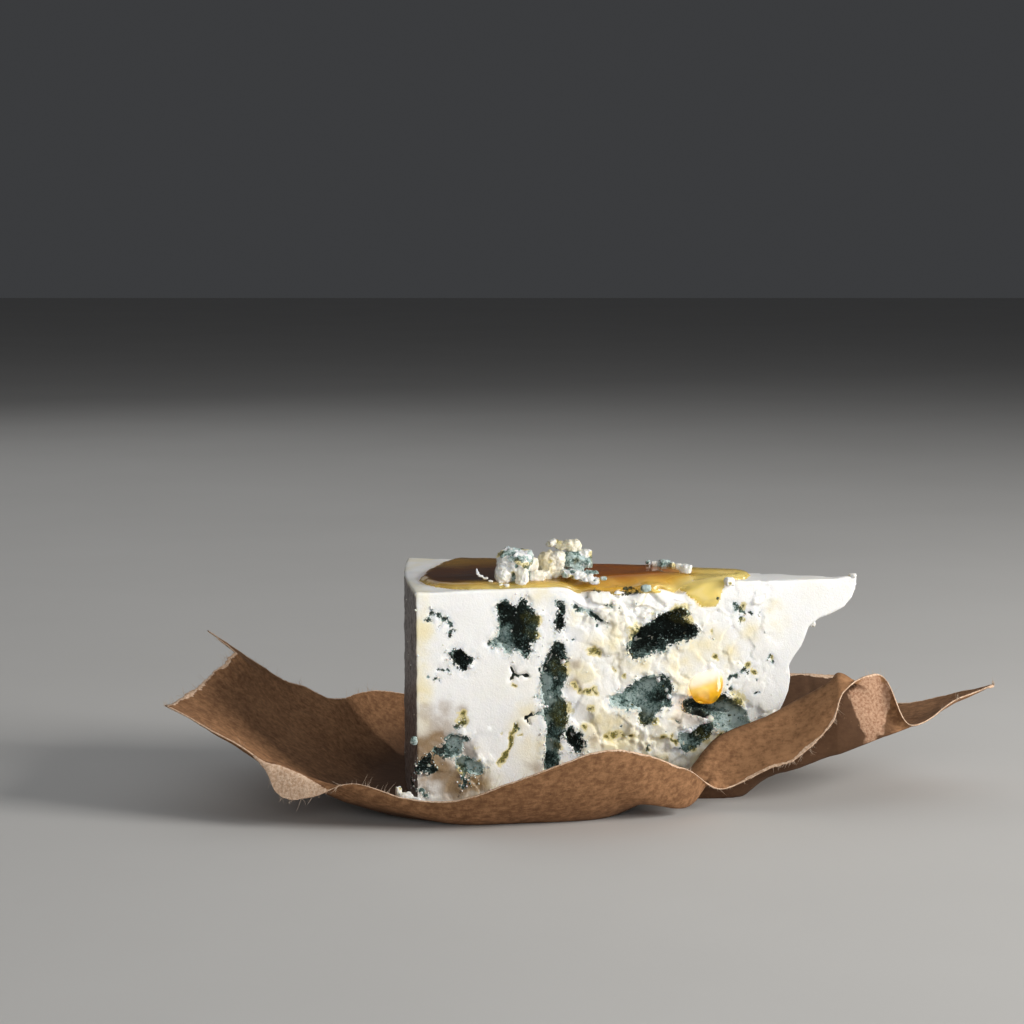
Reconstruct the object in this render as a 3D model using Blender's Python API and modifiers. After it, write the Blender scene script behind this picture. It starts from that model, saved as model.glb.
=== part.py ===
"""A wedge of blue cheese on the torn sheet of brown paper it was wrapped in.

The wedge is cut from a wheel that was halved flat: two radial cuts, a strip of thin rind on the
round side, a broken and undercut point, mould pockets and the slots left by the piercing needles.
Loose crumbs of the same cheese lie on its top. Metres, +Z up, +X towards the point of the wedge,
-Y towards the cut face that shows best. The sheet rests on z = 0.
"""
import math

import bmesh
import bpy
from mathutils import Matrix, Vector, noise

MM = 0.001
CONTACT_GAP = 0.3 * MM

# Wedge: a sector of the wheel with its point on the +X side. The back cut is a little longer than
# the front one, and the rind between them has settled nearly flat.
WHEEL_RADIUS = 103 * MM
BACK_LENGTH = 107 * MM
RIND_BULGE = 1.6 * MM
WEDGE_ANGLE = math.radians(32.2)
WEDGE_HEIGHT = 47.9 * MM
WEDGE_POINT = Vector((61.2 * MM, 1.5 * MM, 0.0))
SIDE_PITCH = 4.3 * MM
LEVEL_PITCH = 4.4 * MM
TOP_MARGIN = 1.0 * MM

# Sheet: brown paper, pressed flat under the wedge and standing up all round.
SHEET_THICKNESS = 0.3 * MM
SHEET_COLUMNS = 40
SHEET_ROWS = 21
TEAR_DEPTH = 0.7 * MM

WEDGE_BASE = SHEET_THICKNESS + CONTACT_GAP
WEDGE_TOP = WEDGE_BASE + WEDGE_HEIGHT

for leftover in list(bpy.data.objects):
    bpy.data.objects.remove(leftover, do_unlink=True)

model = bpy.data.collections.new("cheese_wedge_on_paper")
cutters = bpy.data.collections.new("cutters")
for collection in (model, cutters):
    bpy.context.scene.collection.children.link(collection)

root = bpy.data.objects.new("cheese_wedge_on_paper", None)
model.objects.link(root)


def make_material(name, colour, roughness):
    material = bpy.data.materials.new(name)
    material.use_nodes = True
    shader = material.node_tree.nodes["Principled BSDF"]
    shader.inputs["Base Color"].default_value = (*colour, 1.0)
    shader.inputs["Roughness"].default_value = roughness
    shader.inputs["Metallic"].default_value = 0.0
    return material


def add_object(name, mesh, material, collection=model):
    obj = bpy.data.objects.new(name, mesh)
    obj.parent = root
    mesh.materials.append(material)
    collection.objects.link(obj)
    return obj


def mesh_from(bm, name):
    bmesh.ops.recalc_face_normals(bm, faces=bm.faces)
    mesh = bpy.data.meshes.new(name)
    bm.to_mesh(mesh)
    bm.free()
    return mesh


def smoothstep(low, high, value):
    t = min(max((value - low) / (high - low), 0.0), 1.0)
    return t * t * (3 - 2 * t)


# ---------------------------------------------------------------------------------------------
# The wedge of cheese
# ---------------------------------------------------------------------------------------------

paste = make_material("blue_cheese_paste", (0.93, 0.91, 0.84), 0.55)
HALF_ANGLE = WEDGE_ANGLE / 2
RIM_STEPS = 14
SIDE_STEPS = round(WHEEL_RADIUS / SIDE_PITCH)
BACK_STEPS = round(BACK_LENGTH / SIDE_PITCH)


def side_direction(side):
    """Unit vector from the point along a cut face; side is -1 for the front, +1 for the back."""
    return Vector((-math.cos(HALF_ANGLE), side * math.sin(HALF_ANGLE), 0.0))


def side_normal(side):
    return Vector((math.sin(HALF_ANGLE), side * math.cos(HALF_ANGLE), 0.0))


def on_side(side, along, height):
    """A place on a cut face: along is measured from the rind corner, height from the table."""
    return WEDGE_POINT + side_direction(side) * (WHEEL_RADIUS - along) + Vector((0, 0, height))


def wedge_outline():
    front = [side_direction(-1) * (WHEEL_RADIUS * i / SIDE_STEPS) for i in range(SIDE_STEPS)]
    near_corner, far_corner = side_direction(-1) * WHEEL_RADIUS, side_direction(1) * BACK_LENGTH
    outward = Vector((0, 0, 1)).cross(far_corner - near_corner).normalized()
    rim = [near_corner.lerp(far_corner, i / RIM_STEPS)
           + outward * RIND_BULGE * math.sin(math.pi * i / RIM_STEPS) for i in range(RIM_STEPS)]
    back = [side_direction(1) * (BACK_LENGTH * i / BACK_STEPS) for i in range(BACK_STEPS, 0, -1)]
    return [WEDGE_POINT + p for p in front + rim + back]


def extruded_outline(name, points, depth):
    """A filled flat outline in XY, made thick by depth on each side of z = 0."""
    curve = bpy.data.curves.new(name, "CURVE")
    curve.dimensions = "2D"
    curve.fill_mode = "BOTH"
    curve.extrude = depth / 2
    spline = curve.splines.new("POLY")
    spline.points.add(len(points) - 1)
    for target, point in zip(spline.points, points):
        target.co = (point[0], point[1], 0.0, 1.0)
    spline.use_cyclic_u = True
    holder = bpy.data.objects.new(name, curve)
    bpy.context.scene.collection.objects.link(holder)
    mesh = bpy.data.meshes.new_from_object(holder.evaluated_get(bpy.context.evaluated_depsgraph_get()))
    bm = bmesh.new()
    bm.from_mesh(mesh)
    bmesh.ops.remove_doubles(bm, verts=bm.verts, dist=1e-6)
    bpy.data.objects.remove(holder, do_unlink=True)
    bpy.data.meshes.remove(mesh)
    return bm


def crumbled(along, height):
    """How rough the cut face is: smooth near the rind and at the top, crumbly low and to the right."""
    low = 1 - smoothstep(24 * MM, 42 * MM, height)
    right = smoothstep(34 * MM, 62 * MM, along)
    return 0.25 + 0.75 * low * right


def edge_loss(along):
    """How far the top edge is broken down, from 0 near the rind and the point to 1 in the middle."""
    return smoothstep(30 * MM, 42 * MM, along) * (1 - smoothstep(66 * MM, 80 * MM, along))


def shape_side(bm, side):
    """Uneven cut face, with its top edge broken down where the crumbs came off."""
    normal = side_normal(side)
    for vertex in bm.verts:
        from_point = vertex.co - WEDGE_POINT
        inside = -from_point.dot(normal)
        along = WHEEL_RADIUS - from_point.dot(side_direction(side))
        height = vertex.co.z
        on_top = height > WEDGE_TOP - 0.5 * MM
        if on_top and abs(inside - TOP_MARGIN) < 0.1 * MM:
            vertex.co -= normal * 3.2 * MM * edge_loss(along)
        if abs(inside) > 0.1 * MM or height < WEDGE_BASE + 0.5 * MM or along > WHEEL_RADIUS - SIDE_PITCH / 2:
            continue
        wave = noise.noise(vertex.co * 90 + Vector((side * 7.0, 3.0, 0.0)))
        grain = noise.noise(vertex.co * 260 + Vector((1.0, side * 5.0, 2.0)))
        vertex.co += normal * (0.6 * wave + 0.9 * crumbled(along, height) * grain) * MM
        if on_top:
            drop = 0.4 + 2.4 * edge_loss(along) + 0.7 * noise.noise(vertex.co * 180)
            vertex.co += (Vector((0, 0, -drop)) - normal * (0.3 + 0.5 * edge_loss(along))) * MM


bm = extruded_outline("wedge_outline", wedge_outline(), WEDGE_HEIGHT)
bmesh.ops.translate(bm, verts=bm.verts, vec=(0, 0, WEDGE_BASE + WEDGE_HEIGHT / 2))
top = bmesh.ops.dissolve_faces(bm, faces=[face for face in bm.faces if face.normal.z > 0.9])["region"]
bmesh.ops.inset_region(bm, faces=top, thickness=TOP_MARGIN, use_even_offset=True)
level_count = round(WEDGE_HEIGHT / LEVEL_PITCH)
for i in range(1, level_count):
    level = Vector((0, 0, WEDGE_BASE + WEDGE_HEIGHT * i / level_count))
    bmesh.ops.bisect_plane(bm, geom=bm.verts[:] + bm.edges[:] + bm.faces[:], dist=1e-6,
                           plane_co=level, plane_no=(0, 0, 1))
shape_side(bm, -1)
shape_side(bm, 1)
wedge = add_object("cheese_wedge", mesh_from(bm, "cheese_wedge"), paste)


def add_cutter(name, bm, matrix, mesh_object):
    mesh = mesh_from(bm, name)
    cutter = add_object(name, mesh, paste, cutters)
    cutter.matrix_local = matrix
    cutter.hide_render = True
    cutter.display_type = "WIRE"
    cut = mesh_object.modifiers.new(name, "BOOLEAN")
    cut.operation = "DIFFERENCE"
    cut.solver = "EXACT"
    cut.object = cutter


# The point is broken: an overhanging lip at the top, then a steep rough break down to the base.
# Each place is the distance back from the point and the height above the table.
BREAK_PROFILE = (
    (-2.0, 46.6), (0.3, 46.2), (0.7, 44.4), (2.6, 41.2), (5.4, 39.6), (8.6, 38.6), (11.2, 37.0),
    (12.6, 33.4), (13.4, 31.0), (15.2, 29.0), (15.2, 25.6), (16.2, 22.0), (18.4, 17.0), (20.8, 11.5),
    (24.4, 6.0), (28.6, -1.0), (-2.0, -1.0))

bm = extruded_outline("point_break", [(-d * MM, z * MM) for d, z in BREAK_PROFILE], 40 * MM)
add_cutter("point_break", bm,
           Matrix.Translation(WEDGE_POINT) @ Matrix.Rotation(math.radians(90), 4, "X"), wedge)

# Mould pockets and needle slots: side, place along the cut face from the rind corner, height,
# then half width, half height and depth, and the tilt in degrees. All lengths in millimetres.
POCKETS = (
    ("pocket_square", -1, 22.6, 38.4, 4.2, 6.6, 7.0, 8),
    ("pocket_needle_low", -1, 30.6, 21.5, 1.9, 13.0, 5.0, -4),
    ("pocket_needle_high", -1, 32.2, 41.5, 0.9, 5.6, 3.0, 0),
    ("pocket_cavern", -1, 57.0, 38.0, 9.0, 4.2, 9.0, 24),
    ("pocket_bowl", -1, 51.0, 22.6, 7.2, 4.6, 5.5, 8),
    ("pocket_crevice", -1, 68.0, 18.4, 9.0, 2.4, 5.0, 4),
    ("pocket_low_crevice", -1, 64.5, 13.0, 3.6, 2.2, 5.0, 20),
    ("pocket_angular", -1, 10.3, 32.8, 2.7, 1.9, 4.0, -20),
    ("pocket_small", -1, 36.2, 13.3, 1.7, 2.0, 3.2, 0),
    ("pocket_vein", -1, 8.6, 11.8, 6.0, 1.5, 2.4, 20),
    ("pocket_back_tall", 1, 58.0, 26.0, 1.8, 12.0, 5.0, 5),
    ("pocket_back_cavern", 1, 36.0, 31.0, 7.4, 4.4, 8.0, -18),
    ("pocket_back_bowl", 1, 17.0, 17.0, 4.6, 5.4, 6.0, 12),
    ("pocket_back_low", 1, 43.0, 12.0, 6.4, 2.2, 4.4, 10),
    ("pocket_back_small", 1, 72.0, 37.0, 2.8, 2.2, 4.0, -15),
)


def add_pocket(name, side, along, height, half_width, half_height, depth, tilt):
    """A ragged hollow, centred on the cut face, with its roughness scaled to its own size."""
    bm = bmesh.new()
    bmesh.ops.create_icosphere(bm, subdivisions=2, radius=1.0)
    for vertex in bm.verts:
        ragged = noise.noise(vertex.co * 1.7 + Vector((along, height, depth)))
        vertex.co *= 1.0 + 0.34 * ragged
    bmesh.ops.scale(bm, verts=bm.verts, vec=(half_width * MM, depth * MM, half_height * MM))
    turn = side * (math.pi / 2 - HALF_ANGLE) - side * math.pi / 2
    placed = (Matrix.Translation(on_side(side, along * MM, height * MM))
              @ Matrix.Rotation(turn, 4, "Z")
              @ Matrix.Rotation(math.radians(-tilt), 4, "Y"))
    add_cutter(name, bm, placed, wedge)


for pocket in POCKETS:
    add_pocket(*pocket)


# ---------------------------------------------------------------------------------------------
# The sheet of brown paper
# ---------------------------------------------------------------------------------------------

brown_paper = make_material("brown_paper", (0.36, 0.22, 0.12), 0.85)

# Cross-sections of the sheet from its left end to its right end, in millimetres. Each has its place
# along x and eight places (y, z) from the near torn edge to the far one: edge, standing wall, fold,
# inner fold, near and far ends of the flat floor, far slope, far edge. The left end runs aslant.
# The near wall turns into a lapel that hangs over its own crest on the right of the floor.
SHEET_SECTIONS = (
    (-85.3, ((-26, 23.6), (-23.5, 23.3), (-19, 23.5), (-13, 24.1),
             (-6, 25), (3, 26.6), (10, 28), (15.5, 29))),
    (-72, ((-37, 14.8), (-36.4, 14.4), (-32, 12.8), (-24, 12),
           (-12, 12.8), (2, 15.2), (12, 18), (22, 21.4))),
    (-66, ((-41, 6.8), (-39, 12.6), (-35, 10.8), (-27, 9),
           (-13, 8.8), (5, 10.8), (17, 14), (27, 17.8))),
    (-59, ((-43, 6.8), (-41, 10.2), (-37, 7.8), (-28, 5.4),
           (-14, 4.4), (6, 5.8), (20, 9.5), (30.5, 14.3))),
    (-50, ((-43.5, 10), (-43, 8), (-38, 4.4), (-31, 2.4),
           (-18, 0.7), (14, 0.3), (32, 5), (44, 14))),
    (-39, ((-44.5, 7), (-43, 4), (-38, 1.8), (-33, 0.3),
           (-18, 0), (34.5, 0), (41, 5), (46.5, 12))),
    (-28, ((-46, 7), (-43.5, 2.6), (-38.5, 0), (-33, 0),
           (-18, 0), (31, 0), (40, 5), (47, 12.5))),
    (-15, ((-48, 11.8), (-44, 4.4), (-37.5, 0), (-31, 0),
           (-16, 0), (28, 0), (39, 5), (47, 13))),
    (4.6, ((-46, 17.8), (-41, 7), (-33, 0.5), (-25, 0),
           (-15, 0), (22, 0), (36, 5), (47, 14.5))),
    (21, ((-35, 11.3), (-30.5, 1.8), (-22.5, 7), (-16, 2),
          (-11, 0), (17, 0), (34, 6), (46.5, 16))),
    (28.8, ((-25.5, 4.6), (-22, 9), (-19, 14.9), (-15, 6.8),
            (-10, -4.6), (13, -2.6), (32, 7), (46, 17))),
    (40, ((-25, 9), (-21.5, 13.6), (-17.5, 19.2), (-17, 8.2),
          (-9, 3.2), (9, 2.4), (31, 8), (45.5, 17.4))),
    (46, ((-25, 11.4), (-21.5, 16.8), (-16, 22.2), (-19, 9),
          (-10, 6.5), (6, 5), (30, 10), (45, 18))),
    (53.5, ((-23.6, 18.9), (-20, 24), (-15.5, 25.8), (-19.4, 12),
            (-11.5, 9.8), (4.6, 7.2), (28.5, 11.4), (44.3, 17.8))),
    (56.7, ((-20, 25.6), (-18, 26.8), (-15, 27.2), (-19.5, 13),
            (-12, 11), (4, 8), (28, 12), (44, 17.8))),
    (65.5, ((-13, 27.9), (-13.5, 24), (-15.5, 19.5), (-18.5, 15.2),
            (-12, 14), (2, 12), (20, 13), (40, 17.4))),
    (71.5, ((-17, 17.3), (-16.8, 17), (-16.4, 16.8), (-15, 16.4),
            (-10, 15.9), (-4, 16), (4, 16.4), (12, 17))),
    (83, ((-9, 21.5), (-8.5, 21), (-7.5, 20.4), (-5, 19.8),
          (-2, 19.3), (2, 19), (5, 19), (8, 19.2))),
    (92.3, ((-2, 23.4), (-1.6, 23.3), (-1.2, 23.2), (-0.8, 23.1),
            (-0.4, 23), (0, 23), (0.5, 22.9), (1, 22.9))),
)
LEFT_EDGE_SLANT = 0.29
TORN_TAIL = Vector((-8.0, 7.5, 3.1)) * MM


def through(points, t):
    """The smooth line through a row of points, at t from 0 at the first to 1 at the last."""
    place = min(max(t, 0.0), 1.0) * (len(points) - 1)
    i = min(int(place), len(points) - 2)
    s = place - i
    before = points[max(i - 1, 0)]
    after = points[min(i + 2, len(points) - 1)]
    start, end = points[i], points[i + 1]
    return start + 0.5 * s * ((end - before) + s * ((2 * before - 5 * start + 4 * end - after)
                                                    + s * (3 * (start - end) + after - before)))


SHEET_POINTS = [[Vector((x, y, z)) * MM for y, z in places] for x, places in SHEET_SECTIONS]
for place in SHEET_POINTS[0]:
    place.x += LEFT_EDGE_SLANT * place.y


def sheet_point(u, v):
    """The underside of the sheet: u runs along it from left to right, v from near to far."""
    across = [through(section, v) for section in SHEET_POINTS]
    point = through(across, u)
    crease = 0.5 * noise.noise(Vector((u * 9.0, v * 5.0, 4.0))) * MM
    point.z = max(point.z + (crease if point.z > 1.5 * MM else 0.0), 0.0)
    return point


bm = bmesh.new()
bmesh.ops.create_grid(bm, x_segments=SHEET_COLUMNS, y_segments=SHEET_ROWS, size=0.5)
for vertex in bm.verts:
    u, v = vertex.co.x + 0.5, vertex.co.y + 0.5
    corner = max(0.0, 1 - 26 * u) * max(0.0, 1 - 14 * (1 - v))
    tear = TEAR_DEPTH * noise.noise(Vector((u * 60, v * 40, 9.0)))
    vertex.co = sheet_point(u, v)
    if min(v, 1 - v) < 0.01:
        vertex.co.y += tear
    if u < 0.01:
        vertex.co.x += tear
    vertex.co += TORN_TAIL * corner
sheet_mesh = bpy.data.meshes.new("paper_wrap")
bm.to_mesh(sheet_mesh)
bm.free()
sheet = add_object("paper_wrap", sheet_mesh, brown_paper)
thick = sheet.modifiers.new("thickness", "SOLIDIFY")
thick.thickness = SHEET_THICKNESS
thick.offset = 1.0


# ---------------------------------------------------------------------------------------------
# The crumbs on top
# ---------------------------------------------------------------------------------------------

# Name, middle (x, y and height above the top of the wedge), half sizes, and turn about z and y in
# degrees. All lengths in millimetres.
CRUMBS = (
    ("crumb_dome", (-16.0, -16.0, 4.5), (4.2, 4.2, 4.0), 20, 0),
    ("crumb_cream", (-7.6, -9.8, 3.9), (2.7, 2.9, 3.4), 50, 8),
    ("crumb_blue", (-1.6, -8.6, 5.0), (3.1, 2.6, 2.2), -10, 6),
    ("crumb_top", (-5.2, -8.6, 8.4), (3.9, 2.4, 1.3), 10, -4),
    ("crumb_slab", (-1.0, -14.0, 1.7), (4.9, 1.8, 1.2), -8, 12),
)


def add_crumb(name, middle, half_sizes, turn, lean):
    """An angular lump, broken along a few flat planes."""
    bm = bmesh.new()
    bmesh.ops.create_icosphere(bm, subdivisions=3, radius=1.0)
    seed = Vector(middle)
    for vertex in bm.verts:
        broken = noise.cell(vertex.co * 1.3 + seed) * 0.12
        lump = noise.noise(vertex.co * 1.6 + seed) * 0.26
        vertex.co *= 0.92 + broken + lump
    bmesh.ops.scale(bm, verts=bm.verts, vec=Vector(half_sizes) * MM)
    crumb = add_object(name, mesh_from(bm, name), paste)
    crumb.location = Vector(middle) * MM + Vector((0, 0, WEDGE_TOP))
    crumb.rotation_euler = (0.0, math.radians(lean), math.radians(turn))


for crumb in CRUMBS:
    add_crumb(*crumb)

solids = [obj for obj in model.objects if obj.type == "MESH"]
for obj in solids:
    obj.data.shade_smooth()
    obj.data.set_sharp_from_angle(angle=math.radians(40))

# The origin is on the table, at the middle of all that the sheet covers.
bpy.context.view_layer.update()
seen = bpy.context.evaluated_depsgraph_get()
corners = [obj.matrix_world @ Vector(corner)
           for obj in solids for corner in obj.evaluated_get(seen).bound_box]
for axis in (0, 1):
    places = [corner[axis] for corner in corners]
    root.location[axis] = -(min(places) + max(places)) / 2
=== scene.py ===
"""A wedge of blue cheese on the torn sheet of brown paper it was wrapped in.

The cheese is a moist white paste with blue-green mould in its hollows, cut from a halved wheel and
laid on its flat side. Honey has been poured over its top, and crumbs of the same cheese lie in it.
"""
import math
import random

import bmesh
import bpy
import numpy as np
from mathutils import Matrix, Vector, noise
from mathutils.bvhtree import BVHTree


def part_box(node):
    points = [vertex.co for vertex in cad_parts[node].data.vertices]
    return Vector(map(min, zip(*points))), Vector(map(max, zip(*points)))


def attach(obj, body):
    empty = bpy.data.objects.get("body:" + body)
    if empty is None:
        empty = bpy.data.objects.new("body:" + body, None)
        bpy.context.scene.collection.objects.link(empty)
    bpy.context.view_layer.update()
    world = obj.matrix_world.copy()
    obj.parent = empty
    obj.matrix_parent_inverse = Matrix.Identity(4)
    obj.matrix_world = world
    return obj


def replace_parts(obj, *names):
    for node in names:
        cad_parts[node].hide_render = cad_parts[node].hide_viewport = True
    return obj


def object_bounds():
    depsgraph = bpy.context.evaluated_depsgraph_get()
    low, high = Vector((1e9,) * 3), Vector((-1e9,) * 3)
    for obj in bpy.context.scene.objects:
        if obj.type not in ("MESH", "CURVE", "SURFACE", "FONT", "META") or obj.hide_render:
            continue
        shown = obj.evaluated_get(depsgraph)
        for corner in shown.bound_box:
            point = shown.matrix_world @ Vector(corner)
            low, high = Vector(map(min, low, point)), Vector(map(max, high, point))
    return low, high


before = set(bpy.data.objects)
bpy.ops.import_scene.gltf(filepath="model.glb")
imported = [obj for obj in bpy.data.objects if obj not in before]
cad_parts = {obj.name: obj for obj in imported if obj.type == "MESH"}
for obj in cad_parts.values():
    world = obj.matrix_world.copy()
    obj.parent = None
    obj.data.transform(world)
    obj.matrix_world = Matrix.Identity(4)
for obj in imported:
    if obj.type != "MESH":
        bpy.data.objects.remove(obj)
cad_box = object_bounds()
MM = 0.001


# ---------------------------------------------------------------------------------------------
# Camera, table and lights. A plain pale table, a soft key light low on the right, weaker lights
# above, in front and behind, and an even grey surround.
# ---------------------------------------------------------------------------------------------
CAMERA_PLACE = Vector((-16.7, -599.6, 133.0)) * MM
CAMERA_PITCH = math.radians(6.678)
CAMERA_LENS = 94.3
NEAREST_SEEN = 10 * MM
SURROUND_COLOUR = (0.62, 0.64, 0.68, 1.0)
SURROUND_STRENGTH = 0.07
TABLE_HALF_WIDTH = 3.0
LIGHT_TARGET = Vector((0.0, 0.0, 0.02))
# Each light's place, width, power and colour.
LIGHTS = {
    "key_light": ((0.73, -0.235, 0.33), 0.34, 7.3, (1.0, 0.985, 0.96)),
    "top_light": ((0.05, 0.25, 0.75), 1.2, 1.7, (0.95, 0.97, 1.0)),
    "fill_light": ((0.02, -0.92, 0.22), 0.6, 3.2, (0.97, 0.985, 1.0)),
    "back_light": ((-0.40, 0.75, 0.55), 0.7, 0.7, (0.97, 0.985, 1.0))}

camera_data = bpy.data.cameras.new("camera")
camera_data.lens = CAMERA_LENS
camera_data.clip_start = NEAREST_SEEN
camera = bpy.data.objects.new("camera", camera_data)
camera.location = CAMERA_PLACE
camera.rotation_euler = (math.pi / 2 - CAMERA_PITCH, 0.0, 0.0)
bpy.context.scene.collection.objects.link(camera)
bpy.context.scene.camera = camera

world = bpy.data.worlds.new("surround")
world.use_nodes = True
world.node_tree.nodes["Background"].inputs["Color"].default_value = SURROUND_COLOUR
world.node_tree.nodes["Background"].inputs["Strength"].default_value = SURROUND_STRENGTH
bpy.context.scene.world = world
bpy.context.scene.view_settings.view_transform = "Standard"

for name, (place, width, power, colour) in LIGHTS.items():
    light = bpy.data.lights.new(name, "AREA")
    light.size = width
    light.energy = power
    light.color = colour
    holder = bpy.data.objects.new(name, light)
    holder.location = place
    holder.rotation_euler = (LIGHT_TARGET - Vector(place)).to_track_quat("-Z", "Y").to_euler()
    bpy.context.scene.collection.objects.link(holder)


def new_material(name):
    material = bpy.data.materials.new(name)
    material.use_nodes = True
    return material, material.node_tree, material.node_tree.nodes["Principled BSDF"]


def add_node(tree, kind, settings=None, **inputs):
    """A node with its properties and sockets set. A socket takes a value or a socket to join to."""
    node = tree.nodes.new(kind)
    for name, value in (settings or {}).items():
        setattr(node, name, value)
    for name, value in inputs.items():
        socket = node.inputs[int(name[1:])] if name[0] == "i" and name[1:].isdigit() else node.inputs[name]
        if isinstance(value, bpy.types.NodeSocket):
            tree.links.new(value, socket)
        else:
            socket.default_value = value
    return node


def mixed(tree, factor, first, second):
    """Two colours mixed by a factor."""
    node = add_node(tree, "ShaderNodeMix", {"data_type": "RGBA"}, Factor=factor, i6=first, i7=second)
    return node.outputs[2]


def object_noise(tree, scale, detail=3.0, roughness=0.55, stretch=(1, 1, 1)):
    """Noise in the object's own metres; scale is in bumps to the metre."""
    place = add_node(tree, "ShaderNodeTexCoord").outputs["Object"]
    place = add_node(tree, "ShaderNodeMapping", Vector=place, Scale=stretch).outputs["Vector"]
    return add_node(tree, "ShaderNodeTexNoise", Vector=place, Scale=scale, Detail=detail,
                    Roughness=roughness).outputs["Fac"]


def between(tree, value, low, high):
    """The value spread from 0 at low to 1 at high, and smooth between them."""
    node = add_node(tree, "ShaderNodeMapRange", {"interpolation_type": "SMOOTHSTEP"}, Value=value)
    node.inputs["From Min"].default_value = low
    node.inputs["From Max"].default_value = high
    return node.outputs["Result"]


def worked(tree, operation, first, second, clamp=False):
    settings = {"operation": operation, "use_clamp": clamp}
    return add_node(tree, "ShaderNodeMath", settings, i0=first, i1=second).outputs[0]


def times(tree, first, second):
    return worked(tree, "MULTIPLY", first, second)


def plus(tree, first, second):
    return worked(tree, "ADD", first, second)


table_material, tree, shader = new_material("table_top")
tone = object_noise(tree, 9.0, detail=4.0)
colour = mixed(tree, tone, (0.56, 0.545, 0.52, 1.0), (0.62, 0.605, 0.58, 1.0))
tree.links.new(colour, shader.inputs["Base Color"])
shader.inputs["Roughness"].default_value = 0.7

bm = bmesh.new()
bmesh.ops.create_grid(bm, x_segments=1, y_segments=1, size=TABLE_HALF_WIDTH)
table_mesh = bpy.data.meshes.new("table")
bm.to_mesh(table_mesh)
bm.free()
table = bpy.data.objects.new("table", table_mesh)
table_mesh.materials.append(table_material)
bpy.context.scene.collection.objects.link(table)


# ---------------------------------------------------------------------------------------------
# The brown paper. One sheet of rough wrapping paper, torn on every side and pressed flat under
# the cheese. It stands up round the wedge, folds over on the right and ends in a torn tail.
# ---------------------------------------------------------------------------------------------
PAPER_LOW, PAPER_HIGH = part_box("paper_wrap")
PAPER_THICKNESS = 0.3 * MM
PAPER_COLUMNS = 290
PAPER_ROWS = 104
PAPER_RELIEF = 0.16 * MM
SHEET_LENGTH = PAPER_HIGH.x - PAPER_LOW.x
LEFT_EDGE_SLANT = 0.29
TORN_TAIL = Vector((-8.0, 7.5, 3.1)) * MM
# The seeds of the torn edges, the share of the sheet by which each tear's pull has died away, and
# the most of the sheet's width that a tear can take.
LEFT_TEAR, NEAR_TEAR, FAR_TEAR = 31.0, 3.0, 17.0
LEFT_PULL, SIDE_PULL = 0.03, 0.08
TEAR_LIMIT = 0.2
# Where along x, in millimetres, the lapel on the right begins and ends, and the middle of the rough
# patch that was torn off it.
LAPEL_START = (28.0, 38.0)
LAPEL_END = (62.7, 67.6)
LAPEL_PATCH = (62.8, -14, 21)
# The wide split patch at the near left: its middle and half length along x in millimetres, and its
# depth as a share of the sheet's width.
LOBE_MIDDLE, LOBE_HALF, LOBE_DEPTH = -64.0, 8.5, 0.145
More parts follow.
